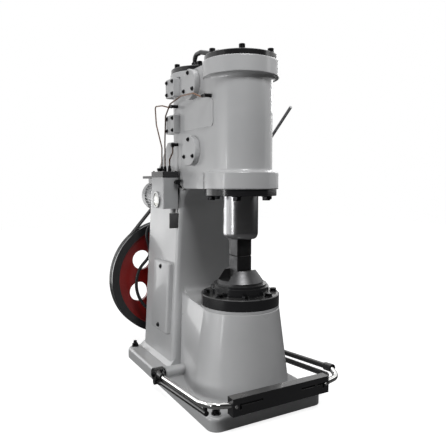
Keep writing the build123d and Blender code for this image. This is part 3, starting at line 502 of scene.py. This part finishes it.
paneLook = {"oilLow": 0.784, "oilHigh": 0.787, "oil": (0.34, 0.33, 0.25), "clear": (0.72, 0.73, 0.69)}


def makePane(c):
    # Pale sight glass over a light oil level
    mat, tree, shader = newMaterial("palePane", {"Roughness": 0.06, "Coat Weight": 1.0, "Coat Roughness": 0.03})
    split = tree.nodes.new("ShaderNodeSeparateXYZ")
    tree.links.new(objectPlace(tree), split.inputs[0])
    level = rangeNode(tree, split.outputs["Z"], c["oilLow"], c["oilHigh"])
    tree.links.new(mixColour(tree, level, c["oil"], c["clear"]), shader.inputs["Base Color"])
    return mat


finishes["palePane"] = makePane(paneLook)
finishes["wheelPaint"] = makeWheelPaint(wheel)
finishes["beltRubber"] = makeRubber("beltRubber", (0.018, 0.018, 0.018), 0.6, 2.0, 0.0001)
finishes["conduitSkin"] = makeRubber("conduitSkin", (0.012, 0.012, 0.013), 0.16, 6.0, 0.00005)

nodeFinish = {
    "greyPaint": (
        "base_plate", "anvil_pedestal", "column", "cylinder_block", "valve_covers", "port_covers",
        "right_covers", "side_access_cover",
    ),
    "blackPaint": (
        "cylinder_cover", "compressor_cover", "gland_plate", "anvil_cap", "anvil_ring", "air_pipe",
        "treadle_box", "treadle_collars", "treadle_side_bars", "bearing_housing", "motor_bracket",
        "lubricator_lid", "lubricator_bracket",
    ),
    "boxGrey": ("lubricator_tank", "motor"),
    "brightSteel": ("ram", "control_lever", "crankshaft"),
    "darkSteel": ("upper_die", "lower_die", "sow_wedge"),
    "groundSteel": ("sow_block",),
    "chromeTube": ("treadle_tube",),
    "copperLine": ("oil_lines",),
    "blackFitting": (
        "cover_screws", "gland_bolts", "anvil_cap_bolts", "cover_bolts", "access_screws", "oil_fittings",
        "lubricator_crank", "treadle_axles", "motor_pulley", "sight_glass",
    ),
    "wheelPaint": ("flywheel",),
    "beltRubber": ("drive_belts",),
    "conduitSkin": ("conduit",),
}


def paintNode(node, material):
    if not node.material_slots:
        node.data.materials.append(material)
    for place in node.material_slots:
        place.link = "OBJECT"
        place.material = material


for finish, names in nodeFinish.items():
    for name in names:
        if name in nodes:
            paintNode(nodes[name], finishes[finish])
print("finishes on the CAD nodes")


# Forms and small fittings, each turned or faceted from rings and joined in one mesh
def ringRadius(radius, angle, flats):
    if not flats:
        return radius
    part = math.tau / flats
    return radius * math.cos(part / 2) / math.cos((angle % part) - part / 2)


def bridge(bm, first, second):
    # Faces between two rings of as many points
    for i in range(len(first)):
        j = (i + 1) % len(first)
        bm.faces.new((first[i], first[j], second[j], second[i]))


def turned(bm, place, axis, profile, sides=24, turn=0.0):
    # profile: radius, height and flats if any, from one end to the other; a radius of 0 closes it
    frameTurn = Vector(axis).normalized().to_track_quat("Z", "Y").to_matrix()
    last = None
    for step in profile:
        radius, height = step[0], step[1]
        flats = step[2] if len(step) > 2 else 0
        if radius == 0:
            ring = [bm.verts.new(Vector(place) + frameTurn @ Vector((0, 0, height)))]
        else:
            ring = []
            for i in range(sides):
                angle = math.tau * i / sides
                r = ringRadius(radius, angle, flats)
                spot = Vector((r * math.cos(angle + turn), r * math.sin(angle + turn), height))
                ring.append(bm.verts.new(Vector(place) + frameTurn @ spot))
        if last and len(last) == len(ring):
            bridge(bm, last, ring)
        elif last:
            for i in range(sides):
                j = (i + 1) % sides
                if len(last) == 1:
                    bm.faces.new((last[0], ring[j], ring[i]))
                else:
                    bm.faces.new((last[i], last[j], ring[0]))
        last = ring


def boxed(bm, low, high, bevel=0.0):
    made = bmesh.ops.create_cube(bm, size=1.0)
    middle = (Vector(low) + Vector(high)) / 2
    size = Vector(high) - Vector(low)
    for v in made["verts"]:
        v.co = Vector((v.co.x * size.x, v.co.y * size.y, v.co.z * size.z)) + middle
    if bevel:
        edges = {e for v in made["verts"] for e in v.link_edges}
        bmesh.ops.bevel(bm, geom=list(edges), offset=bevel, segments=2, affect="EDGES", profile=0.5)


def piece(name, body, finish, slotName, build, *covers):
    bm = bmesh.new()
    build(bm)
    bmesh.ops.recalc_face_normals(bm, faces=bm.faces)
    mesh = bpy.data.meshes.new(name)
    bm.to_mesh(mesh)
    bm.free()
    mesh.polygons.foreach_set("use_smooth", [True] * len(mesh.polygons))
    mesh.set_sharp_from_angle(angle=math.radians(32))
    obj = bpy.data.objects.new(name, mesh)
    bpy.context.scene.collection.objects.link(obj)
    mesh.materials.append(finishes[finish])
    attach(obj, body)
    if covers:
        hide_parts(*covers)
    return obj


def socketCap(radius, height, key, seat=0.0):
    return [
        (radius * 0.94, seat), (radius, seat + 0.0008), (radius, seat + height - 0.0016),
        (radius - 0.0016, seat + height), (key * 1.12, seat + height), (key, seat + height - 0.0007, 6),
        (key, seat + height * 0.45, 6), (0, seat + height * 0.40),
    ]


def hexHead(radius, height, washer, washerHeight):
    top = washerHeight + height
    return [
        (washer, 0), (washer, washerHeight * 0.8), (washer - 0.0005, washerHeight), (radius, washerHeight, 6),
        (radius, top - 0.0025, 6), (radius * 0.86, top), (0, top),
    ]


def roundSpots(cx, cy, radius, count, start=0.0):
    spots = []
    for i in range(count):
        a = math.radians(start) + math.tau * i / count
        spots.append((cx + radius * math.cos(a), cy + radius * math.sin(a)))
    return spots


ramForm = {
    "radius": 0.071,
    "low": 0.653,
    "noseRadius": 0.057,
    "noseHeight": 0.026,
    "noseFlat": 0.053,
    "pistonLow": 0.905,
    "pistonHeight": 0.110,
    "pistonRadius": 0.085,
    "hollow": 0.045,
    "sides": 96,
}


def buildRamForm(bm):
    # Rod with a softly rounded nose, and the hollow piston above it
    c = ramForm
    profile = [(0, c["low"]), (c["noseFlat"], c["low"])]
    for i in range(13):
        a = math.radians(-90 + 7.5 * i)
        radius = c["noseRadius"] + (c["radius"] - c["noseRadius"]) * math.cos(a)
        profile.append((radius, c["low"] + c["noseHeight"] * (1 + math.sin(a))))
    high = c["pistonLow"] + c["pistonHeight"]
    profile += [
        (c["radius"], c["pistonLow"]), (c["pistonRadius"], c["pistonLow"]), (c["pistonRadius"], high),
        (c["hollow"], high), (c["hollow"], c["pistonLow"] - c["hollow"]), (0, c["pistonLow"] - c["hollow"]),
    ]
    turned(bm, (0, 0, 0), (0, 0, 1), profile, c["sides"])


piece("ramBody", "ram", "brightSteel", "bright_steel", buildRamForm, "ram")

pedestal = {
    "levels": (  # height, radius of the round part
        (0.050, 0.215), (0.0525, 0.2085), (0.057, 0.2040), (0.065, 0.2005), (0.078, 0.1975), (0.100, 0.1940),
        (0.377, 0.158), (0.380, 0.155), (0.383, 0.157), (0.385, 0.157),
    ),
    "throat": 0.302,
    "webLow": 0.128,
    "webHigh": 0.118,
    "webTop": 0.385,
    "top": 0.391,
    "cove": 0.034,
    "webBack": 0.012,  # how far the web runs into the column
    "steps": 72,
    "capLow": 0.380,
    "capRadius": 0.157,
    "coveInset": 0.012,
    "pivot": (0.216, 0.072),
    "bossIn": 0.120,
    "bossOut": 0.2415,
    "bossFoot": 0.015,
    "boss": (
        (0, 0), (0.032, 0), (0.026, 0.012), (0.022, 0.026), (0.022, 0.1205), (0.0205, 0.122), (0.0113, 0.122),
        (0.0113, 0.062), (0, 0.062),
    ),
}


def pedestalRing(bm, z, radius):
    # Round part and the web's sides that run on from it to the column
    c = pedestal
    base = c["levels"][0][0]
    share = (z - base) / (c["webTop"] - base)
    half = c["webLow"] + (c["webHigh"] - c["webLow"]) * share
    start = math.atan2(c["throat"], half) - math.acos(radius / math.hypot(half, c["throat"]))
    spots = [(half, c["throat"] + c["webBack"]), (half, c["throat"])]
    for i in range(c["steps"] + 1):
        a = start - (math.pi + 2 * start) * i / c["steps"]
        spots.append((radius * math.cos(a), radius * math.sin(a)))
    spots += [(-half, c["throat"]), (-half, c["throat"] + c["webBack"])]
    return [bm.verts.new((x, y, z)) for x, y in spots]


def coveProfile():
    # Round inner corner between the web's top and the column, seen from the side
    c = pedestal
    back, low = c["throat"] + 0.004, c["webTop"] - 0.004
    front = c["throat"] - c["cove"]
    profile = [(back, low), (front, low), (front, c["webTop"])]
    for i in range(1, 9):
        a = math.radians(90 * i / 8)
        profile.append((c["throat"] - c["cove"] * (1 - math.sin(a)), c["webTop"] + c["cove"] * (1 - math.cos(a))))
    return profile + [(back, c["webTop"] + c["cove"])]


def buildPedestal(bm):
    c = pedestal
    rings = [pedestalRing(bm, z, radius) for z, radius in c["levels"]]
    for low, high in zip(rings, rings[1:]):
        bridge(bm, low, high)
    bm.faces.new(rings[0])
    bm.faces.new(rings[-1])
    cap = [(0, c["capLow"]), (c["capRadius"], c["capLow"]), (c["capRadius"], c["top"]), (0, c["top"])]
    turned(bm, (0, 0, 0), (0, 0, 1), cap, 96)
    wide = c["webHigh"] - c["coveInset"]
    ends = [[bm.verts.new((side * wide, y, z)) for y, z in coveProfile()] for side in (-1, 1)]
    bridge(bm, ends[0], ends[1])
    bm.faces.new(ends[0])
    bm.faces.new(ends[1])
    y, z = c["pivot"]
    for side in (-1, 1):
        turned(bm, (side * c["bossIn"], y, z), (side, 0, 0), c["boss"], 48)
        low, high = sorted((side * c["bossIn"], side * c["bossOut"]))
        boxed(bm, (low, y - c["bossFoot"], c["levels"][0][0]), (high, y + c["bossFoot"], z), 0.002)


piece("pedestalBody", "frame", "greyPaint", "grey_paint", buildPedestal, "anvil_pedestal")

def wallDirections(degrees):
    # Straight out of the sloping left wall, and up along it
    tilt = math.radians(degrees)
    return Vector((-math.cos(tilt), 0, math.sin(tilt))), Vector((math.sin(tilt), 0, math.cos(tilt)))


accessCover = {
    "place": (-0.1525, 0.425, 0.3525),
    "tilt": 3.22,
    "width": 0.180,
    "height": 0.325,
    "corner": 0.010,
    "steps": ((-0.002, 0.0), (0.0155, 0.0), (0.0175, 0.0008), (0.0232, 0.0068), (0.0240, 0.0085)),  # depth, inset
}


def buildAccessCover(bm):
    c = accessCover
    out, up = wallDirections(c["tilt"])
    last = None
    for depth, inset in c["steps"]:
        ring = []
        for quarter, (sy, sz) in enumerate(((1, 1), (-1, 1), (-1, -1), (1, -1))):
            for i in range(7):
                a = math.radians(90 * quarter + 15 * i)
                y = sy * (c["width"] / 2 - c["corner"]) + (c["corner"] - inset) * math.cos(a)
                z = sz * (c["height"] / 2 - c["corner"]) + (c["corner"] - inset) * math.sin(a)
                ring.append(bm.verts.new(Vector(c["place"]) + out * depth + up * z + Vector((0, y, 0))))
        if last:
            bridge(bm, last, ring)
        else:
            bm.faces.new(ring)
        last = ring
    bm.faces.new(last)


piece("accessCoverPlate", "frame", "greyPaint", "grey_paint", buildAccessCover, "side_access_cover")

treadlePipes = {
    "radius": 0.011,
    "thin": 0.0095,
    "tube": (
        (-0.275, 0.154, 0.078), (-0.275, 0.130, 0.078), (-0.275, -0.180, 0.103), (-0.275, -0.272, 0.128),
        (-0.192, -0.284, 0.1175), (0.192, -0.284, 0.1125), (0.275, -0.276, 0.124), (0.275, -0.236, 0.146),
        (0.275, -0.226, 0.145),
    ),
    # upper: the chrome tube's right run carried on in black paint, a painted dark reflection of the chrome
    "upper": ((0.275, 0.184, 0.106), (0.275, 0.162, 0.106), (0.275, -0.226, 0.145)),
    "lower": (
        (0.275, 0.154, 0.078), (0.275, 0.130, 0.078), (0.275, -0.224, 0.111), (0.192, -0.232, 0.117),
        (0.192, -0.2715, 0.1125),
    ),
    # Thin black bar under the left run, and the strap that ends it: painted shade for the dark stripe below the
    # tube
    "leftShadeBar": ((-0.275, 0.1994, 0.041), (-0.275, 0.1924, 0.041), (-0.275, 0.163, 0.0495), (-0.275, -0.230, 0.084)),
    "bends": {"tube": 0.034, "upper": 0.026, "lower": 0.018, "leftShadeBar": 0.030},
    "strapLow": (-0.281, -0.226, 0.080),
    "strapHigh": (-0.269, -0.214, 0.104),
    "sleeve": (0.275, -0.249, 0.1472),
    "sleeveWay": (0, 1, -0.1),
    "sleeveProfile": (
        (0.0108, 0), (0.0150, 0), (0.0158, 0.001), (0.0158, 0.041), (0.0150, 0.042), (0.0108, 0.042),
    ),
    "sleeveScrew": ((0.0055, 0), (0.0055, 0.006), (0.0045, 0.007), (0, 0.007)),
}


def bentPath(points, radius):
    # Straight runs of pipe joined by round bends
    places = [Vector(p) for p in points]
    path = [places[0]]
    for before, corner, after in zip(places, places[1:], places[2:]):
        back = (before - corner).normalized()
        on = (after - corner).normalized()
        half = back.angle(on) / 2
        if half > math.radians(88.5):
            path.append(corner)
            continue
        reach = min(radius / math.tan(half), 0.48 * (before - corner).length, 0.48 * (after - corner).length)
        bend = reach * math.tan(half)
        centre = corner + (back + on).normalized() * (bend / math.sin(half))
        first = corner + back * reach - centre
        last = corner + on * reach - centre
        for i in range(9):
            path.append(centre + first.slerp(last, i / 8).normalized() * bend)
    path.append(places[-1])
    return path


def pipeAlong(bm, points, bend, radius, sides=28):
    path = bentPath(points, bend)
    across = None
    last = None
    for i, spot in enumerate(path):
        ahead = (path[min(i + 1, len(path) - 1)] - path[max(i - 1, 0)]).normalized()
        across = ahead.orthogonal() if across is None else across - ahead * across.dot(ahead)
        across.normalize()
        side = ahead.cross(across)
        ring = []
        for k in range(sides):
            a = math.tau * k / sides
            ring.append(bm.verts.new(spot + (across * math.cos(a) + side * math.sin(a)) * radius))
        if last:
            bridge(bm, last, ring)
        else:
            bm.faces.new(ring)
        last = ring
    bm.faces.new(last)


def buildTreadleTube(bm):
    c = treadlePipes
    pipeAlong(bm, c["tube"], c["bends"]["tube"], c["radius"])


# Black runs beside the chrome tube: the upper right run is a painted dark reflection of the chrome, the lower right
# run is a black bar, and the thin run under the left tube with its strap is painted shade
def buildBarsAndPaintedDark(bm):
    c = treadlePipes
    for run, radius in (("upper", c["radius"]), ("lower", c["radius"]), ("leftShadeBar", c["thin"])):
        pipeAlong(bm, c[run], c["bends"][run], radius)
    boxed(bm, c["strapLow"], c["strapHigh"], 0.001)
    turned(bm, c["sleeve"], c["sleeveWay"], c["sleeveProfile"], 36)
    x, y, z = c["sleeve"]
    turned(bm, (x + 0.0145, y + 0.021, z - 0.002), (1, 0, 0), c["sleeveScrew"], 24)


piece("treadlePipe", "treadle", "chromeTube", "chrome_tube", buildTreadleTube, "treadle_tube")
piece("treadleBarsAndPaintedDark", "treadle", "blackPaint", "black_paint", buildBarsAndPaintedDark, "treadle_side_bars")

coverScrews = {
    "front": (0.0, 0.0, 1.361, 0.127),
    "rear": (0.0, 0.340, 1.371, 0.117),
    "radius": 0.012,
    "height": 0.018,
    "key": 0.0062,
    "washer": ((0.0142, 0), (0.0142, 0.0012), (0.012, 0.0013)),
}


def buildCoverScrews(bm):
    c = coverScrews
    for cx, cy, z, circle in (c["front"], c["rear"]):
        for x, y in roundSpots(cx, cy, circle, 6):
            turned(bm, (x, y, z), (0, 0, 1), c["washer"], 36)
            turned(bm, (x, y, z), (0, 0, 1), socketCap(c["radius"], c["height"], c["key"]), 36, 0.3)


piece("coverCapScrews", "frame", "blackFitting", "black_fitting", buildCoverScrews, "cover_screws")

glandBolts = {
    "circle": 0.123,
    "z": 0.824,
    "start": -8.0,
    "head": (0.0168, 0.0135, 0.0185, 0.003),  # corner radius, height, washer radius, washer height
}


def buildGlandBolts(bm):
    g = glandBolts
    for x, y in roundSpots(0, 0, g["circle"], 6, g["start"]):
        turned(bm, (x, y, g["z"]), (0, 0, -1), hexHead(*g["head"]), 36)


piece("glandHexBolts", "frame", "blackFitting", "black_fitting", buildGlandBolts, "gland_bolts")

capBolts = {"circle": 0.1365, "z": 0.435, "start": 22.5, "head": (0.0138, 0.0105, 0.016, 0.0025)}


def buildCapBolts(bm):
    c = capBolts
    for x, y in roundSpots(0, 0, c["circle"], 8, c["start"]):
        turned(bm, (x, y, c["z"]), (0, 0, 1), hexHead(*c["head"]), 36, x * 7)


piece("capHexBolts", "frame", "blackFitting", "black_fitting", buildCapBolts, "anvil_cap_bolts")

sideCovers = {
    "valveY": 0.168,
    "valveZ": (1.005, 1.272),
    "portY": 0.340,
    "portZ": (1.127, 1.283),
    "valveFace": 0.149,
    "portFace": 0.155,
    "circle": 0.046,
    "portReach": (0.029, 0.026),
    "head": (0.0065, 0.007, 0.0034),
    "washer": ((0.0095, 0), (0.0095, 0.0009), (0.006, 0.001)),
}


def buildSideScrews(bm):
    c = sideCovers

    def screw(spot, way):
        turned(bm, spot, way, socketCap(*c["head"]), 36)
        turned(bm, spot, way, c["washer"], 30)

    for side in (-1, 1):
        for z in c["valveZ"]:
            for dy, dz in roundSpots(0, 0, c["circle"], 3, 90):
                screw((side * c["valveFace"], c["valveY"] + dy, z + dz), (side, 0, 0))
    reachY, reachZ = c["portReach"]
    for z in c["portZ"]:
        for dy in (-reachY, reachY):
            for dz in (-reachZ, reachZ):
                screw((-c["portFace"], c["portY"] + dy, z + dz), (-1, 0, 0))


piece("sideCoverScrews", "frame", "blackFitting", "black_fitting", buildSideScrews, "cover_bolts")

accessScrews = {
    "reach": 0.1365,
    "lift": 0.024,
    "head": (0.008, 0.007, 0.004),
    "washer": ((0.0115, 0), (0.0115, 0.001), (0.0075, 0.0011)),
}


def buildAccessScrews(bm):
    c = accessScrews
    out, up = wallDirections(accessCover["tilt"])
    for side in (-1, 1):
        spot = Vector(accessCover["place"]) + out * c["lift"] + up * c["reach"] * side
        turned(bm, spot, out, socketCap(*c["head"]), 36)
        turned(bm, spot, out, c["washer"], 30)


piece("accessCapScrews", "frame", "blackFitting", "black_fitting", buildAccessScrews, "access_screws")

anchors = {
    "x": 0.216,
    "y": (-0.191, 0.652),
    "z": 0.054,
    "nut": (0.0150, 0.0125, 0.0175, 0.003),
    "stud": ((0.0085, 0.0155), (0.0085, 0.0275), (0.0070, 0.029), (0, 0.029)),
}


def buildAnchors(bm):
    c = anchors
    for x in (-c["x"], c["x"]):
        for y in c["y"]:
            turned(bm, (x, y, c["z"]), (0, 0, 1), hexHead(*c["nut"]), 36, y)
            turned(bm, (x, y, c["z"]), (0, 0, 1), c["stud"], 24)


piece("anchorBolts", "frame", "blackFitting", "black_fitting", buildAnchors)

glass = {
    "face": -0.205,
    "y": 0.3715,
    "z": 0.799,
    "rim": 0.036,
    "pane": 0.0285,
    "lip": 0.0065,
    "screw": ((0.002, 0), (0.0018, 0.0009), (0, 0.0012)),
}


def buildGlassRim(bm):
    g = glass
    spot = (g["face"], g["y"], g["z"])
    rim = [
        (g["rim"], 0), (g["rim"], 0.005), (g["rim"] - 0.0015, g["lip"]), (g["pane"] + 0.0015, g["lip"]),
        (g["pane"], 0.005), (g["pane"], 0.0),
    ]
    turned(bm, spot, (-1, 0, 0), rim, 48)
    for dy, dz in roundSpots(0, 0, (g["rim"] + g["pane"]) / 2, 4, 45):
        turned(bm, (g["face"] - g["lip"], g["y"] + dy, g["z"] + dz), (-1, 0, 0), g["screw"], 12)


def buildGlassPane(bm):
    g = glass
    radius = g["pane"]
    pane = [(radius, 0.0012), (radius, 0.0035), (radius * 0.7, 0.0046), (radius * 0.3, 0.0052), (0, 0.0053)]
    turned(bm, (g["face"], g["y"], g["z"]), (-1, 0, 0), pane, 48)


piece("glassRim", "frame", "satinSteel", "bright_steel", buildGlassRim, "sight_glass")
piece("glassPane", "frame", "palePane", "sight_glass", buildGlassPane)

lubricator = {
    "lidTop": 0.923,
    "corners": ((-0.198, 0.309), (-0.142, 0.309), (-0.198, 0.423), (-0.142, 0.423)),
    "cornerHead": (0.0045, 0.0035, 0.0023),
    "filler": (-0.185, 0.385),
    "fillerProfile": (
        (0.010, 0), (0.010, 0.004), (0.012, 0.0045), (0.0125, 0.006), (0.0125, 0.013), (0.0105, 0.0155),
        (0, 0.0158),
    ),
    "crank": (-0.148, 0.276, 0.877),
    "hub": ((0.011, 0), (0.011, 0.005), (0.0095, 0.0065), (0, 0.0065)),
    "arm": (0.022, 0, -0.030),
    "armRadii": (0.0042, 0.0036),
    "knob": ((0.004, 0), (0.0055, 0.004), (0.008, 0.010), (0.0085, 0.015), (0.0065, 0.020), (0, 0.0215)),
    "setBack": 0.002,  # hub and knob start this far behind the crank's arm
}


def buildLubricatorBits(bm):
    c = lubricator
    for x, y in c["corners"]:
        turned(bm, (x, y, c["lidTop"]), (0, 0, 1), socketCap(*c["cornerHead"]), 24)
    x, y = c["filler"]
    turned(bm, (x, y, c["lidTop"]), (0, 0, 1), c["fillerProfile"], 36)
    x, y, z = c["crank"]
    turned(bm, (x, y + c["setBack"], z), (0, -1, 0), c["hub"], 30)
    arm = Vector(c["arm"])
    thick, thin = c["armRadii"]
    turned(bm, (x, y, z), arm, [(thick, 0), (thin, arm.length), (0, arm.length + 0.001)], 16)


def buildCrankKnob(bm):
    c = lubricator
    x, y, z = Vector(c["crank"]) + Vector(c["arm"])
    turned(bm, (x, y + c["setBack"], z), (0, -1, 0), c["knob"], 30)


piece("lubricatorBits", "frame", "blackFitting", "black_fitting", buildLubricatorBits)
piece("crankKnob", "frame", "chromeTube", "chrome_tube", buildCrankKnob)

# Thin dark grey sheet under the lubricator tank: a painted shadow of the tank
tankShadowBounds = {"low": (-0.171, 0.3115, 0.674), "high": (-0.1215, 0.3185, 0.7405), "edge": 0.0015}


def buildTankShadowSheet(bm):
    boxed(bm, tankShadowBounds["low"], tankShadowBounds["high"], tankShadowBounds["edge"])


piece("lubricatorTankShadow", "frame", "tankShadowGrey", "black_paint", buildTankShadowSheet)

oilNuts = {
    "lid": ((-0.165, 0.408, 0.937), (-0.165, 0.372, 0.937), (-0.165, 0.322, 0.937)),
    "ends": ((-0.150, 0.346, 1.206), (-0.148, 0.038, 1.208)),
    "profile": (
        (0.0055, 0), (0.0068, 0.001, 6), (0.0068, 0.008, 6), (0.0045, 0.0095), (0.0034, 0.012), (0.0028, 0.0125),
    ),
}


def buildOilNuts(bm):
    c = oilNuts
    for spots, way in ((c["lid"], (0, 0, 1)), (c["ends"], (0, 1, 0))):
        for spot in spots:
            turned(bm, spot, way, c["profile"], 24)


piece("oilLineNuts", "frame", "blackFitting", "black_fitting", buildOilNuts)

bearing = {"y": 0.680, "z": 0.373, "circle": 0.100, "start": 30, "head": (0.011, 0.009, 0.014, 0.0025)}


def buildBearingBolts(bm):
    c = bearing
    for x, dz in roundSpots(0, 0, c["circle"], 6, c["start"]):
        turned(bm, (x, c["y"], c["z"] + dz), (0, 1, 0), hexHead(*c["head"]), 36)


piece("bearingBolts", "frame", "blackFitting", "black_fitting", buildBearingBolts)

treadleBits = {
    "boxFace": -0.3015,
    "rivets": ((0.198, 0.1185), (-0.198, 0.1185)),
    "rivet": ((0.0062, 0), (0.0056, 0.0016), (0.0034, 0.0028), (0, 0.0032)),
    # black sheet behind the slots: painted shade inside the box
    "slotShadeLow": (-0.205, -0.2962, 0.0895),
    "slotShadeHigh": (0.205, -0.2956, 0.1415),
    "clamp": (-0.275, 0.168, 0.104),
    "clampHead": ((0.0075, -0.004), (0.0082, -0.002), (0.0082, 0.004), (0.0066, 0.006), (0, 0.0062)),
    "tommyBar": ((0.0022, -0.011), (0.0026, -0.010), (0.0026, 0.010), (0.0022, 0.011), (0, 0.0112)),
    "axle": (0.298, 0.216, 0.072),
    "axleCap": ((0.0085, -0.001), (0.0085, 0.0012), (0.0075, 0.0018), (0, 0.0019)),
}


def buildTreadleRivets(bm):
    c = treadleBits
    for x, z in c["rivets"]:
        turned(bm, (x, c["boxFace"], z), (0, -1, 0), c["rivet"], 30)


def buildTreadleSlotShade(bm):
    # Black sheet behind the box's slots: painted shade for the dark inside of the box
    boxed(bm, treadleBits["slotShadeLow"], treadleBits["slotShadeHigh"])


def buildTreadleScrews(bm):
    c = treadleBits
    x, y, z = c["clamp"]
    turned(bm, (x, y, z), (0, 0, 1), c["clampHead"], 30)
    turned(bm, (x, y, z + 0.002), (0.4, 1, 0), c["tommyBar"], 16)
    x, y, z = c["axle"]
    for side in (-1, 1):
        turned(bm, (side * x, y, z), (side, 0, 0), c["axleCap"], 30)


piece("treadleRivets", "treadle", "chromeTube", "bright_steel", buildTreadleRivets)
piece("treadleSlotShade", "treadle", "blackFitting", "black_fitting", buildTreadleSlotShade)
piece("treadleScrews", "treadle", "blackFitting", "black_fitting", buildTreadleScrews)

leverBits = {"hub": (0.219, 0.168, 1.005), "cap": ((0.0155, -0.0005), (0.0155, 0.002), (0.0140, 0.003), (0, 0.003))}


def buildLeverCap(bm):
    turned(bm, leverBits["hub"], (1, 0, 0), leverBits["cap"], 36)


piece("leverCap", "lever", "blackFitting", "black_fitting", buildLeverCap)

pipeBits = {
    "places": ((-0.035, 0.090, 1.370), (-0.058, 0.286, 1.380)),
    "nut": ((0.0155, 0), (0.0155, 0.009, 6), (0.0125, 0.0125), (0.0108, 0.0130)),
}


def buildPipeNuts(bm):
    for place in pipeBits["places"]:
        turned(bm, place, (0, 0, 1), pipeBits["nut"], 36)


piece("pipeNuts", "frame", "blackFitting", "black_fitting", buildPipeNuts)

motorBits = {
    "place": (0.045, 1.013, 0.800),  # middle of the fan cowl's back
    "rings": (0.018, 0.032, 0.046, 0.060),
    "wire": 0.0012,
    "lidTop": 0.896,
    "lidRows": (0.862, 0.952),
    "lidReach": 0.048,
    "lidHead": (0.004, 0.003, 0.002),
}


def buildMotorBits(bm):
    # Guard rings on the fan cowl and the screws of the terminal box
    c = motorBits
    x = c["place"][0]
    for radius in c["rings"]:
        inner, outer = radius - c["wire"], radius + c["wire"]
        hoop = [(inner, 0.001), (inner, -0.0015), (outer, -0.0015), (outer, 0.001), (inner, 0.001)]
        turned(bm, c["place"], (0, 1, 0), hoop, 48)
    for side in (-1, 1):
        for y in c["lidRows"]:
            turned(bm, (x + side * c["lidReach"], y, c["lidTop"]), (0, 0, 1), socketCap(*c["lidHead"]), 24)


piece("motorBits", "frame", "blackFitting", "black_fitting", buildMotorBits)
print("fittings built")
